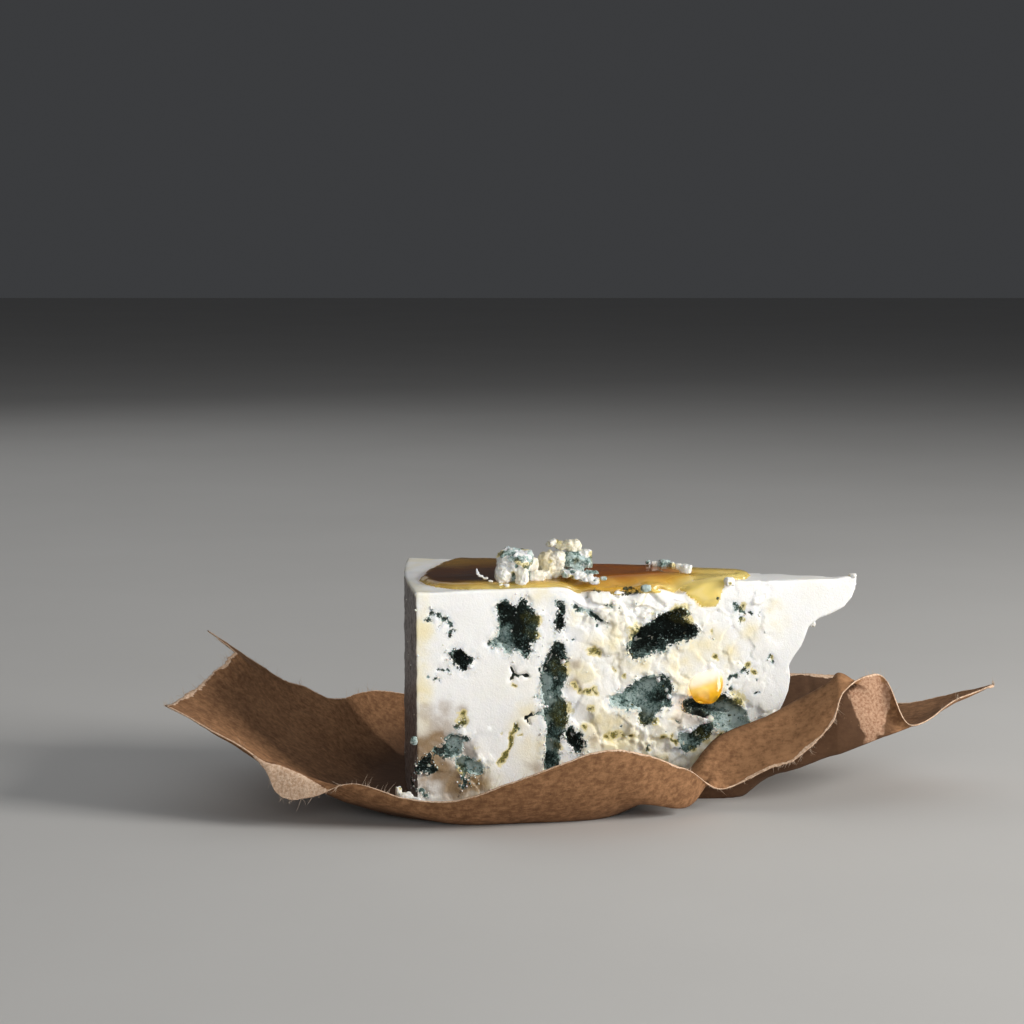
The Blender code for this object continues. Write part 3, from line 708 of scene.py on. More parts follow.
BREAK_HALF_WIDTH = 40 * MM
bm = bmesh.new()
outline = [bm.verts.new(WEDGE_POINT + Vector((-d * MM, -BREAK_HALF_WIDTH, z * MM)))
           for d, z in BREAK_PROFILE]
swept = bmesh.ops.extrude_face_region(bm, geom=[bm.faces.new(outline)], use_keep_orig=True)["geom"]
bmesh.ops.translate(bm, verts=[v for v in swept if isinstance(v, bmesh.types.BMVert)],
                    vec=(0, 2 * BREAK_HALF_WIDTH, 0))
bmesh.ops.recalc_face_normals(bm, faces=bm.faces)
point_break = add_piece("point_break", mesh_of(bm, "point_break"), plain)

for cutter in (point_break, hollows):
    cut = wedge_block.modifiers.new(cutter.name, "BOOLEAN")
    cut.operation = "DIFFERENCE"
    cut.solver = "MANIFOLD"
    cut.object = cutter
wedge_mesh = remeshed(wedge_block, WEDGE_GRAIN, "cheese_wedge")
for cutter in (point_break, hollows):
    bpy.data.objects.remove(cutter, do_unlink=True)


def marked(along, height, marks, soft=0.9):
    """The strongest of some round marks (along, height, radius), which fade across a soft edge."""
    strength = np.zeros(len(along))
    for mark_along, mark_height, radius in marks:
        away = np.hypot(along - mark_along, height - mark_height) / radius
        strength = np.maximum(strength, 1 - smooth_between(1 - soft, 1 + soft, away))
    return strength


def stroked(along, height, line, soft=0.4):
    """A line through points (along, height, half width), from 0 outside to 1 within."""
    strength = np.zeros(len(along))
    for (a0, h0, w0), (a1, h1, w1) in zip(line, line[1:]):
        run = np.array((a1 - a0, h1 - h0))
        share = np.clip(((along - a0) * run[0] + (height - h0) * run[1]) / (run @ run), 0.0, 1.0)
        away = np.hypot(along - a0 - share * run[0], height - h0 - share * run[1])
        half_width = w0 + share * (w1 - w0)
        strength = np.maximum(strength, 1 - smooth_between(1 - soft, 1 + soft, away / half_width))
    return strength


places = read_places(wedge_mesh)
normals = read_normals(wedge_mesh)
from_point = places - np.array(WEDGE_POINT)
height = places[:, 2] / MM
along = {}
inside = {}
for side in (FRONT, BACK):
    along[side] = (FRONT_LENGTH + from_point @ np.array(face_direction(side))) / MM
    inside[side] = -(from_point @ np.array(face_normal(side))) / MM
from_corner = places - np.array(NEAR_CORNER)
rind_share = np.clip(from_corner @ np.array(RIND_RUN) / RIND_RUN.length_squared, 0, 1)
from_rind = RIND_BULGE * np.sin(math.pi * rind_share) - from_corner @ np.array(RIND_NORMAL) / MM
from_top = (WEDGE_TOP - places[:, 2]) / MM
from_base = (places[:, 2] - WEDGE_BASE) / MM
on_front = 1 - smooth_between(0.5, 1.2, inside[FRONT])
on_back = 1 - smooth_between(0.5, 1.2, inside[BACK])
on_top = 1 - smooth_between(0.4, 1.0, from_top)
on_rind = (1 - smooth_between(0.4, 1.1, from_rind)) * (1 - on_top)
on_rind *= smooth_between(0.45, 0.75, normals @ np.array(RIND_NORMAL))
near_front = (inside[FRONT] < inside[BACK]).astype(float)
deep = np.minimum.reduce([inside[FRONT], inside[BACK], from_rind, from_top, from_base])
face_along = np.where(near_front > 0, along[FRONT], along[BACK])

# How far each place is from a mouldy hollow, and so how mouldy it is.
uneven = bumps(places, 520)
fine_uneven = bumps(places, 1300, 2)
to_hollow = column(hollow_tree.find_nearest(Vector(p))[3] for p in places) / MM
lined = 1 - smooth_between(0.02, 0.36, to_hollow + 0.22 * uneven + 0.16 * fine_uneven)
powdered = (1 - smooth_between(0.4, 2.6, to_hollow)) * (1 - lined)
broken = smooth_between(0.8, 1.6, deep) * (1 - lined)

# The marks wander with the curd instead of being round.
wander_along = 0.75 * bumps(places, 420, 6) + 0.45 * bumps(places, 1000, 12)
wander_height = 0.75 * bumps(places, 420, 21) + 0.45 * bumps(places, 1000, 27)
mark_along = {side: along[side] + wander_along for side in along}
mark_height = height + wander_height

# Surface mould: along, height and radius in millimetres on the front face.
FRONT_MOULD = (
    (2.9, 42.4, 0.9), (3.9, 44.1, 1), (5.2, 43.5, 1), (6.2, 42.3, 1), (7.4, 41.2, 0.8), (7.8, 39.8, 0.8),
    (7.5, 38.8, 0.6), (5.5, 40.9, 0.6), (9, 39.4, 0.6), (2.9, 29.6, 0.5), (4.4, 29.2, 0.7),
    (5.4, 29, 0.4), (36.4, 44.7, 1.2), (37.6, 43.9, 1.5), (38.9, 43.4, 1.3), (39.8, 42.4, 1.1),
    (40.9, 41.4, 0.9), (36.8, 43.4, 0.8), (43, 45.4, 0.9), (44.6, 45.2, 0.9), (42.4, 40.4, 0.7),
    (43.6, 39.6, 0.5), (41, 39.4, 0.5), (46.4, 44.4, 0.5), (49.8, 44.6, 0.5), (73.3, 43.3, 0.9),
    (74, 42.3, 1), (75, 41.8, 0.8), (76.2, 41, 0.9), (77.4, 41.4, 0.5), (74.8, 39.6, 0.8),
    (74.9, 38.3, 0.6), (79.7, 40.6, 0.6), (72.9, 26, 0.9), (74.2, 26.6, 0.9), (75.8, 27.8, 1.1),
    (77, 26.8, 0.8), (78.8, 25.2, 0.6), (81.9, 30.4, 0.7), (82.6, 29, 0.7), (73, 23.4, 0.8),
    (79.2, 22.6, 0.6), (1.3, 4.7, 1), (2.2, 3.8, 0.9), (13.2, 8.6, 1), (14.4, 9.6, 0.7), (9.2, 18.8, 0.9),
    (10.4, 19.2, 1.2), (22.9, 17.9, 0.6), (52.6, 17, 1.1), (53.6, 11.4, 0.8), (64.6, 19.4, 0.6),
    (67.9, 35.4, 0.5), (28, 24.4, 0.6), (28.2, 30, 0.5), (16.6, 36.7, 0.9), (25.9, 35.2, 0.7),
    (35.6, 36.6, 0.5), (18.6, 44.8, 1.1), (4.9, 31.4, 0.5), (5.7, 31.4, 0.6), (6.6, 31.2, 0.6),
    (7.5, 30.8, 0.5), (77.8, 40.8, 0.4), (60.3, 16.6, 0.5), (57.3, 14.6, 0.4), (47, 16.4, 0.4),
    (71.6, 24.8, 0.4), (70, 12.4, 0.6), (66.6, 7.4, 0.5))
# Yellow-green to olive stains, where the mould has just begun or has run into the paste.
FRONT_STAINS = (
    (10.4, 21.4, 0.9), (10.6, 19.8, 1.2), (40.2, 33.9, 1.1), (41.3, 33.2, 0.8), (36.1, 26.4, 0.8),
    (36.6, 25.4, 0.8), (39, 24.8, 1), (40.6, 25.2, 0.9), (37.8, 24.6, 0.6), (45, 29.4, 0.6),
    (47.9, 27.6, 0.5), (39.4, 20.7, 0.8), (43.4, 14.4, 0.8), (45.4, 14.5, 1.2), (47.2, 14.4, 0.9),
    (49.2, 14.1, 0.5), (52.4, 18, 1.3), (54.9, 17.2, 1), (56.5, 13.4, 0.7), (53.9, 11.1, 0.5),
    (27, 37.8, 1), (27.2, 41.2, 1.2), (33.8, 30, 1.5), (33.9, 21, 1.6), (33.4, 18.4, 1.3),
    (32.6, 12.6, 0.9), (50.4, 37.2, 1.8), (60.4, 42.2, 2.2), (62.4, 39.4, 1.2), (68.2, 36.7, 0.5),
    (69, 31.2, 0.7), (75.6, 42.6, 0.8), (75, 39, 0.8), (76.6, 28.6, 0.8), (78.4, 27.4, 0.7),
    (74.6, 20.6, 2), (72, 20.4, 1), (67, 13, 1.2), (64, 10.3, 0.6), (68.9, 10.5, 0.8), (61.8, 19.6, 0.6),
    (9.9, 9, 1), (38.2, 17.2, 0.8), (61, 43, 1), (82.6, 30, 0.6), (19.4, 16.4, 0.4), (22, 26.6, 0.4),
    (23.4, 15.8, 0.4))
STAIN_LINES = (
    ((22.8, 18.2, 0.45), (21.8, 16.2, 0.5), (20.6, 12.8, 0.6), (19.2, 10.2, 0.8)),
    ((70.4, 13.4, 0.5), (69.4, 10.6, 0.9), (68.8, 7.4, 0.6)), ((58.6, 13.8, 0.4), (60.2, 11.8, 0.5)))
# Thin open cracks.
CRACKS = (
    ((21.6, 31, 0.28), (22, 30.2, 0.34), (22.2, 29.3, 0.36), (21.5, 28.1, 0.16)),
    ((22.2, 29.3, 0.3), (23.8, 28.9, 0.22), (24.9, 29.1, 0.42), (25.6, 28.9, 0.2)),
    ((28.3, 20.4, 0.18), (26.4, 20.2, 0.28), (24.7, 19.5, 0.22), (25.2, 18.9, 0.3), (25.8, 18.1, 0.22)),
    ((39.6, 43.2, 0.3), (41.2, 41.3, 0.4), (42, 40.4, 0.3)),
    ((62.2, 19.2, 0.4), (66.8, 17.6, 0.5), (68, 19.4, 0.4)))
# Broad cream and tan blotches where the paste has dried or ripened. The large tan ones low on the left also
# paint in the shade that falls there.
CREAM_BLOTCHES = (
    (1.5, 40, 2), (1.3, 33, 2), (1.6, 27, 2.4), (36.6, 42, 1.9), (28, 47.2, 2.4), (45.6, 35.4, 3.6),
    (47.4, 31.6, 3.2), (37.8, 29.6, 3.2), (40.6, 34.4, 2.6), (64.6, 34, 4.6), (59.4, 30.6, 4.4),
    (51, 30.6, 2.6), (69.4, 34.4, 3), (61, 26.6, 3.2), (26.4, 12.6, 3.4), (23, 17.8, 2.2),
    (38.6, 15.4, 3.4), (25.4, 21, 2), (44, 18.6, 3.6), (46.8, 12, 4.4), (57, 9.8, 4.6), (64.4, 7.6, 4.2),
    (70.4, 10.6, 3.6), (71.6, 31.6, 2.8), (77.4, 37, 2.2), (83, 42.2, 2), (84, 38, 2.4), (60, 19.6, 2),
    (30.2, 4.6, 5), (14, 4.4, 4.4))
TAN_AND_SHADE_BLOTCHES = (
    (3.5, 15, 3.6), (6.4, 18.4, 3.4), (8.4, 7.6, 4.2), (12.6, 5.4, 3.4), (3, 6.4, 3), (10.8, 12.6, 3),
    (2.4, 22.2, 2), (4.4, 19.6, 2.2), (6.4, 22.6, 1.6), (2, 15.6, 2.2), (1.4, 12.8, 1.8), (5.6, 7.4, 2.6),
    (7.4, 9, 2.4), (9, 6.6, 2.4), (13.4, 6.2, 2), (10.2, 22.4, 1.2), (6.6, 18.2, 1.8), (63.8, 17.6, 1.8),
    (36.4, 31, 1.2), (40.2, 14, 1.2), (60.2, 16.8, 1.2), (66.6, 9.2, 1.4), (36, 26.6, 1.6),
    (27.4, 8.6, 1.4))
# The ripest, brown paste, low down by the rind, also painted dark as shade on the lower left of the front
# face.
RIPE_AND_SHADE_BLOTCHES = (
    (1.4, 14.6, 2.8), (3, 12, 4), (5.6, 8.8, 3.2), (9.6, 5.6, 4.6), (12.8, 5, 3.8), (3.2, 8.4, 3),
    (4.6, 16.4, 2.4))
# Where the mould is thick and pale, with painted light on pocket walls that face the light, and where it is
# thin and nearly black.
PALE_MOULD_AND_LIGHT = (
    (20.6, 36, 3.2), (19, 38, 1.8), (29.8, 22.4, 2.8), (30.6, 27, 1.6), (30.8, 13, 1.6),
    (51.2, 35.6, 2.2), (52.2, 22, 3.6), (46, 22.3, 2.2), (53, 19.4, 1.8), (54.4, 24.6, 2.4),
    (72.6, 16.4, 4.6), (62.6, 12.8, 1.8), (9.4, 14, 1.6), (9.9, 10.6, 1.6), (13.6, 9.4, 1.6),
    (31, 18, 1.2), (38.4, 43.2, 1.6), (22.4, 38.6, 1.2), (19.6, 34.4, 2.4), (29.4, 22.2, 2.4),
    (46.4, 22.6, 2.6), (30, 25.6, 2.2))
DARK_MOULD = (
    (22.8, 42.4, 3), (25, 36, 1.5), (10.2, 33, 2.6), (31.8, 33.6, 2.2), (32.6, 40, 3), (58, 38.4, 4.4),
    (62.6, 37.4, 2.6), (49.4, 33.2, 1.4), (48.9, 24.6, 1.4), (57.2, 22.6, 1), (36.6, 13.4, 2),
    (2.2, 10.6, 2.6), (68, 20.2, 5), (30.4, 30, 1.2), (33, 15, 0.8), (67.4, 14.4, 1.4), (5.6, 13, 1.4))


# How far into the paste, in millimetres, the blotches, the mould marks and the cracks go.
MARK_REACH = 12.0
MOULD_REACH = 3.0
CRACK_REACH = 1.2
# The back face has the front one's cracks, turned end for end within this length in millimetres.
CRACK_SPAN = 98


def back_marks(seed, count, radius, spread):
    """Marks for the back face, scattered round its hollows as they are on the front."""
    draw = random.Random(seed)
    marks = []
    for _ in range(count):
        middle_along, middle_height, half_width = draw.choice(BACK_HOLLOWS)[:3]
        angle = draw.uniform(0, 2 * math.pi)
        reach = half_width + draw.uniform(0.4, 1.0) * spread
        marks.append((middle_along + reach * math.cos(angle), middle_height + reach * math.sin(angle),
                      draw.uniform(0.5, 1.0) * radius))
    return marks


def on_both(marks, marks_behind, soft=0.9):
    """Marks of each cut face, kept to the skin of that face and what is under it."""
    front = marked(mark_along[FRONT], mark_height, marks, soft) * (inside[FRONT] < MARK_REACH)
    back = marked(mark_along[BACK], mark_height, marks_behind, soft) * (inside[BACK] < MARK_REACH)
    return np.maximum(front * near_front, back * (1 - near_front))


mould_marks = on_both(FRONT_MOULD, back_marks(seed=3, count=46, radius=1.1, spread=5.0))
mould_marks = mould_marks * (deep < MOULD_REACH)
stains = on_both(FRONT_STAINS, back_marks(seed=5, count=30, radius=1.2, spread=5.0))
cream = on_both(CREAM_BLOTCHES, back_marks(seed=7, count=22, radius=5.0, spread=9.0))
# Tan paste, with painted shade in the large dark blotches low on the left of the front face.
tan = np.maximum(0.6 * on_both(TAN_AND_SHADE_BLOTCHES, back_marks(seed=9, count=10, radius=2.6, spread=6.0), 0.6),
                 on_both(RIPE_AND_SHADE_BLOTCHES, back_marks(seed=15, count=3, radius=2.4, spread=6.0), 0.5))
pale = on_both(PALE_MOULD_AND_LIGHT, back_marks(seed=11, count=14, radius=3.0, spread=-1.0), 0.5)
dark = on_both(DARK_MOULD, back_marks(seed=13, count=14, radius=3.0, spread=-1.0), 0.6)
crack_along = {side: along[side] + 0.30 * wander_along + 0.35 * bumps(places, 1500, 41) for side in along}
crack_height = height + 0.30 * wander_height + 0.35 * bumps(places, 1500, 44)
front_only = near_front * (inside[FRONT] < CRACK_REACH)
back_only = (1 - near_front) * (inside[BACK] < CRACK_REACH)
cracks = np.zeros(len(places))
for line in CRACKS:
    front_line = stroked(crack_along[FRONT], crack_height, line)
    back_line = stroked(CRACK_SPAN - crack_along[BACK], crack_height, line)
    cracks = np.maximum.reduce([cracks, front_line * front_only, back_line * back_only])
for line in STAIN_LINES:
    stains = np.maximum(stains, stroked(mark_along[FRONT], mark_height, line, 0.8) * front_only)

# The paste is smooth near the rind, at the top and at the point, and broken into angular lumps low
# down on the right, round the hollows and where the point broke off.
low_right = (1 - smooth_between(25, 34, height + 0.15 * face_along)) * smooth_between(34, 44, face_along)
low_left = (1 - smooth_between(11, 20, height)) * (1 - smooth_between(13, 20, face_along))
upper_edge = smooth_between(37, 41, height) * smooth_between(35, 41, face_along)
upper_edge *= 1 - smooth_between(51, 57, face_along)
middle = smooth_between(34, 38, face_along) * (1 - smooth_between(78, 86, face_along))
crumbly = np.clip(low_right + 0.5 * low_left + 0.7 * upper_edge + 0.3 * middle
                  + 0.7 * broken + 0.4 * powdered, 0, 1)
crumbly *= np.clip(on_front + on_back + broken, 0, 1)


# The slopes of the lumps come from a noise that is set by the clock until it is given a seed.
noise.seed_set(LUMP_SEED)
# The small curds along the broken part of the top edge: along, height and radius in millimetres.
EDGE_CURDS = ((43, 43.6, 2.6), (46.5, 42.6, 3), (49, 43.8, 2.4))


def lumps(places, size, tilt, sharpness=3.2):
    """Broken lumps that touch: each its own height and slope. Also the joints between them."""
    heights = []
    joints = []
    for p in places:
        spot = Vector(p) / size
        distances, seeds = noise.voronoi(spot)
        slope = noise.noise_vector(seeds[0] * 7.3)
        heights.append(noise.noise(seeds[0] * 5.1) + tilt * slope.dot(spot - seeds[0]))
        joints.append(1 - min((distances[1] - distances[0]) * sharpness, 1.0))
    return column(heights), column(joints)


warp = np.stack([bumps(places, 260, 3), bumps(places, 260, 7), bumps(places, 260, 11)], 1)
lump_height, lump_joint = lumps(places + 1.2 * MM * warp, 4.6 * MM, 2.4, 4.5)
curd_height, curd_joint = lumps(places + 0.5 * MM * warp, 1.8 * MM, 2.2, 3.6)
joint_open = smooth_between(-0.05, 0.35, bumps(places, 170, 31))
pebbled = crumbly * smooth_between(-0.15, 0.40, bumps(places, 95, 15))
pebbled = np.maximum(pebbled, 0.8 * marked(mark_along[FRONT], mark_height, EDGE_CURDS) * on_front)
rise = 0.16 * bumps(places, 120) * (on_front + on_back) + 0.05 * bumps(places, 420)
lump_rise = 0.80 * lump_height - 0.42 * lump_joint ** 2 * joint_open
rise += crumbly * (lump_rise + 0.14 * uneven + 0.08 * fine_uneven)
rise += pebbled * (0.50 * curd_height - 0.26 * curd_joint ** 2 + 0.12 * bumps(places, 1500))
rise += lined * (0.30 * bumps(places, 750) + 0.34 * bumps(places, 1700) - 0.05)
rise += 0.22 * np.clip(on_top, 0, 1) * bumps(places, 160)
rind_pits = np.clip(bumps(places, 330, 5) - 0.12, 0, 1)
rise += on_rind * (0.26 * bumps(places, 190) - 0.28 * rind_pits + 0.14 * bumps(places, 700))
rise -= 1.4 * cracks + 0.30 * mould_marks * (0.6 + fine_uneven) + 0.16 * stains
places = places + normals * (rise * MM)[:, None]

# The top dips towards the point, whose very end curls up, and the top edge of the front face is
# broken down in the middle, where the crumbs on top came from.
dip = 0.5 * smooth_between(62, 82, along[FRONT]) * (1 - smooth_between(97, 102, along[FRONT]))
places[:, 2] -= dip * (1 - smooth_between(0, 12, from_top)) * MM
for side, depth in ((FRONT, 2.6), (BACK, 1.6)):
    worn = depth * smooth_between(31, 42, along[side]) * (1 - smooth_between(60, 72, along[side]))
    worn = worn * (0.85 + 0.7 * bumps(places, 210, 4)) + 0.25
    reach = (1 - smooth_between(0, 7.5, inside[side])) * (1 - smooth_between(0, 8.0, from_top))
    places[:, 2] -= worn * reach * MM
    drawn_in = (0.10 + 0.22 * worn) * reach * (1 - smooth_between(0, 3.0, from_top)) * MM
    places -= np.outer(drawn_in, face_normal(side))
for axis in range(3):
    places[:, axis] = np.clip(places[:, axis], WEDGE_LOW[axis], WEDGE_HIGH[axis])
write_places(wedge_mesh, places)

joints = np.clip(crumbly * lump_joint ** 2 * joint_open + 0.5 * pebbled * curd_joint ** 2, 0, 1)
left_edge = 1 - smooth_between(2.0, 4.6, face_along + 1.2 * bumps(places, 160))
cream = 0.85 * cream * (0.8 + 0.6 * uneven) + 0.35 * crumbly * (0.6 + lump_height) + 0.6 * joints
cream += 0.55 * left_edge * smooth_between(12, 20, height)
cream += 0.16 * broken
cream += 0.22 * bumps(places, 90)
specks = 0.85 * smooth_between(0.42, 0.62, bumps(places, 480, 33))
specks = specks * smooth_between(0.0, 0.4, bumps(places, 70, 8))
specks = specks * (0.3 + 0.7 * crumbly) * (1 - on_rind) * (1 - on_top)
mouldy = np.maximum.reduce([lined, 0.68 * mould_marks, 0.9 * cracks, 0.30 * joints, 0.50 * powdered ** 3])
write_mask(wedge_mesh, "mould", mouldy)
stained_joints = 0.6 * joints * smooth_between(-0.1, 0.5, bumps(places, 210, 9))
write_mask(wedge_mesh, "stain", np.maximum.reduce([stains, stained_joints, specks]))
write_mask(wedge_mesh, "cream", cream)
write_mask(wedge_mesh, "tan", tan + 0.6 * on_rind)
bloom = smooth_between(0.06, 0.5, mould_marks) * (1 - lined)
write_mask(wedge_mesh, "powder", np.maximum(powdered, 0.9 * bloom))
write_mask(wedge_mesh, "rind", on_rind * (1 - lined))
core = 0.8 * mould_marks ** 3 * (0.6 + 0.8 * uneven)
# Painted shade: the mould lining the hollows is painted darker the deeper it lies in the cheese.
painted_hollow_shade = lined * smooth_between(2.6, 6.5, deep)
write_mask(wedge_mesh, "dark", np.maximum.reduce([cracks, 0.9 * dark, core, painted_hollow_shade]))
thin_growth = (1 - smooth_between(0.40, 0.80, mould_marks)) * bloom
write_mask(wedge_mesh, "pale", np.maximum(pale, 0.85 * thin_growth))


# Blue-green mould: a powdery, speckled growth from near black through teal to pale grey-green.
# The group gives its colour and how it stands up, for every material that has mould on it.
mould_group = bpy.data.node_groups.new("mould_growth", "ShaderNodeTree")
for socket in ("Dark", "Pale", "Olive"):
    mould_group.interface.new_socket(name=socket, in_out="INPUT", socket_type="NodeSocketFloat")
mould_group.interface.new_socket(name="Color", in_out="OUTPUT", socket_type="NodeSocketColor")
mould_group.interface.new_socket(name="Height", in_out="OUTPUT", socket_type="NodeSocketFloat")
given = mould_group.nodes.new("NodeGroupInput")
result = mould_group.nodes.new("NodeGroupOutput")
patches = object_noise(mould_group, 330.0, detail=4.0, roughness=0.65)
specks = object_noise(mould_group, 1900.0, detail=2.0, roughness=0.75)
tone = plus(mould_group, times(mould_group, patches, 0.55),
              times(mould_group, specks, 0.75))
# The Dark input carries dark mould and painted shade deep in the hollows; the Pale input carries pale mould
# and painted light on some pocket walls.
tone = worked(mould_group, "SUBTRACT", tone, times(mould_group, given.outputs["Dark"], 0.20))
tone = plus(mould_group, tone, times(mould_group, given.outputs["Pale"], 0.32))
ramp = mould_group.nodes.new("ShaderNodeValToRGB")
for stop, colour in ((0.45, (0.006, 0.010, 0.006, 1)), (0.55, (0.020, 0.034, 0.027, 1)),
                     (0.64, (0.060, 0.098, 0.086, 1)), (0.73, (0.17, 0.26, 0.235, 1)),
                     (0.86, (0.50, 0.60, 0.57, 1))):
    ramp.color_ramp.elements.new(stop).color = colour
ramp.color_ramp.elements.remove(ramp.color_ramp.elements[0])
ramp.color_ramp.elements.remove(ramp.color_ramp.elements[-1])
mould_group.links.new(tone, ramp.inputs["Fac"])
olive_tone = mixed(mould_group, between(mould_group, specks, 0.3, 0.7),
                   (0.022, 0.023, 0.005, 1), (0.21, 0.19, 0.035, 1))
growth = mixed(mould_group, given.outputs["Olive"], ramp.outputs["Color"], olive_tone)
mould_group.links.new(growth, result.inputs["Color"])
mould_group.links.new(tone, result.inputs["Height"])


def add_mould(tree, dark, pale, olive):
    node = tree.nodes.new("ShaderNodeGroup")
    node.node_tree = mould_group
    for name, value in (("Dark", dark), ("Pale", pale), ("Olive", olive)):
        if isinstance(value, bpy.types.NodeSocket):
            tree.links.new(value, node.inputs[name])
        else:
            node.inputs[name].default_value = value
    return node


def paste_material(name):
    """The cheese's own paste, coloured by the masks written on each piece of it."""
    material, tree, shader = new_material(name)
    mottle = object_noise(tree, 160.0, detail=4.0)
    grain = object_noise(tree, 900.0, detail=3.0, roughness=0.65)
    fine_grain = object_noise(tree, 2600.0, detail=2.0, roughness=0.7)
    colour = mixed(tree, mottle, (0.885, 0.875, 0.84, 1), (0.92, 0.915, 0.895, 1))
    creamy = times(tree, mask(tree, "cream"), between(tree, mottle, 0.2, 0.6))
    colour = mixed(tree, creamy, colour, (0.87, 0.775, 0.51, 1))
    dusty = times(tree, mask(tree, "powder"), between(tree, grain, 0.40, 0.62))
    colour = mixed(tree, times(tree, dusty, 0.6), colour, (0.62, 0.70, 0.77, 1))
    # Tan paste, and painted shade low on the left of the front face, in dark brown.
    tanned_and_shaded = times(tree, mask(tree, "tan"), between(tree, mottle, 0.15, 0.5))
    colour = mixed(tree, times(tree, tanned_and_shaded, 0.92), colour, (0.25, 0.145, 0.050, 1))
    rind_tone = mixed(tree, between(tree, grain, 0.35, 0.65),
                      (0.085, 0.074, 0.074, 1), (0.34, 0.30, 0.285, 1))
    colour = mixed(tree, times(tree, mask(tree, "rind"), 0.92), colour, rind_tone)
    stained = plus(tree, mask(tree, "stain"), times(tree, grain, 1.2))
    stain_share = times(tree, between(tree, stained, 0.80, 1.20), 0.8)
    colour = mixed(tree, stain_share, colour, (0.77, 0.65, 0.27, 1))
    stain_core = mixed(tree, between(tree, fine_grain, 0.35, 0.65),
                       (0.050, 0.052, 0.012, 1), (0.30, 0.25, 0.045, 1))
    colour = mixed(tree, between(tree, stained, 1.22, 1.52), colour, stain_core)
    growth = add_mould(tree, mask(tree, "dark"), mask(tree, "pale"), times(tree, mask(tree, "stain"), 0.95))
    speckled = plus(tree, times(tree, grain, 0.8), times(tree, fine_grain, 0.5))
    mouldy = between(tree, plus(tree, mask(tree, "mould"), speckled), 1.08, 1.20)
    colour = mixed(tree, mouldy, colour, growth.outputs["Color"])
    tree.links.new(colour, shader.inputs["Base Color"])
    rough = worked(tree, "MULTIPLY_ADD", between(tree, fine_grain, 0.2, 0.8), 0.16)
    rough.node.inputs[2].default_value = 0.38
    rough = worked(tree, "ADD", rough, times(tree, mouldy, 0.45), clamp=True)
    tree.links.new(rough, shader.inputs["Roughness"])
    shader.inputs["Subsurface Weight"].default_value = 0.22
    shader.inputs["Subsurface Radius"].default_value = (1.0, 0.85, 0.6)
    shader.inputs["Subsurface Scale"].default_value = 0.0012
    surface = plus(tree, times(tree, grain, 0.5), times(tree, fine_grain, 0.5))
    surface = plus(tree, surface, times(tree, growth.outputs["Height"], mouldy))
    relief = add_node(tree, "ShaderNodeBump", Strength=0.5, Distance=PASTE_RELIEF, Height=surface)
    tree.links.new(relief.outputs["Normal"], shader.inputs["Normal"])
    return material


paste = paste_material("blue_cheese_paste")
wedge = add_piece("blue_cheese_wedge", wedge_mesh, paste)
if len(wedge_mesh.polygons) * 2 > WEDGE_TRIANGLES:
    thinned = wedge.modifiers.new("thinned", "DECIMATE")
    thinned.ratio = WEDGE_TRIANGLES / (len(wedge_mesh.polygons) * 2)
    wedge_mesh = with_modifiers(wedge, "blue_cheese_wedge")
    wedge = add_piece("blue_cheese_wedge", wedge_mesh, paste)
    wedge_mesh.polygons.foreach_set("use_smooth", [True] * len(wedge_mesh.polygons))
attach(wedge, "root")
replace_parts(wedge, "cheese_wedge")


# ---------------------------------------------------------------------------------------------
# The grains. Loose specks that the knife dragged out: white ones of paste round the hollows and
# over the broken ground, and tufts of mould that stand up from the hollows' walls.
# ---------------------------------------------------------------------------------------------
# The least room that a grain's middle keeps from the sides of the wedge's box.
CLEAR = 0.25 * MM
# Grains are made a handful at a time, because it is slow to add to a large pile.
HANDFUL = 50
# White balls of paste left in the pockets' mouths: along, height, depth and radius in millimetres.
PASTE_BALLS = (
    (55.9, 26.6, 1.2, 0.85), (57.5, 26.9, 1.0, 0.75), (58.3, 22.6, 0.6, 0.7), (57.8, 24.0, 0.9, 0.5),
    (67.9, 17.0, 0.4, 0.9), (12.2, 31.6, 0.2, 0.8), (26.2, 35.0, 0.7, 0.8), (33.4, 37.2, 0.4, 0.5),
    (32.7, 36.9, 0.6, 0.45), (33.6, 31.6, 0.7, 0.75), (0.4, 34.6, 0.0, 0.4), (31.0, 23.6, 2.0, 0.4),
    (30.2, 21.6, 1.8, 0.35), (3.0, 10.2, 0.6, 0.5), (63.0, 14.6, 0.5, 0.7), (61.4, 15.4, 0.1, 0.7))


def add_grain(bm, place, radius, draw):
    grain = bmesh.ops.create_icosphere(bm, subdivisions=1, radius=radius)["verts"]
    size = Vector((draw.uniform(0.7, 1.3), draw.uniform(0.7, 1.3), draw.uniform(0.7, 1.2)))
    turn = Matrix.Rotation(draw.uniform(0, 6.28), 4, draw.choice("XYZ"))
    bmesh.ops.scale(bm, verts=grain, vec=size)
    bmesh.ops.transform(bm, verts=grain, matrix=Matrix.Translation(place) @ turn)


def scattered(strength, count, smallest, largest, seed):
    """Grains strewn over the wedge's skin where the strength is high, half sunk in it."""
    draw = random.Random(seed)
    chance = strength * (inside_box > 0)
    chosen = draw.choices(range(len(skin)), weights=chance, k=count)
    whole = bmesh.new()
    for first in range(0, count, HANDFUL):
        bm = bmesh.new()
        for i in chosen[first:first + HANDFUL]:
            radius = (smallest + (largest - smallest) * draw.random() ** 3) * MM
            place = Vector(skin[i]) + Vector(skin_normals[i]) * radius * draw.uniform(0.1, 0.6)
            add_grain(bm, place, radius, draw)
        handful = mesh_of(bm, "handful")
        whole.from_mesh(handful)
        bpy.data.meshes.remove(handful)
    return whole


def read_mask(mesh, name):
    values = np.empty(len(mesh.vertices), np.float32)
    mesh.attributes[name].data.foreach_get("value", values)
    return values


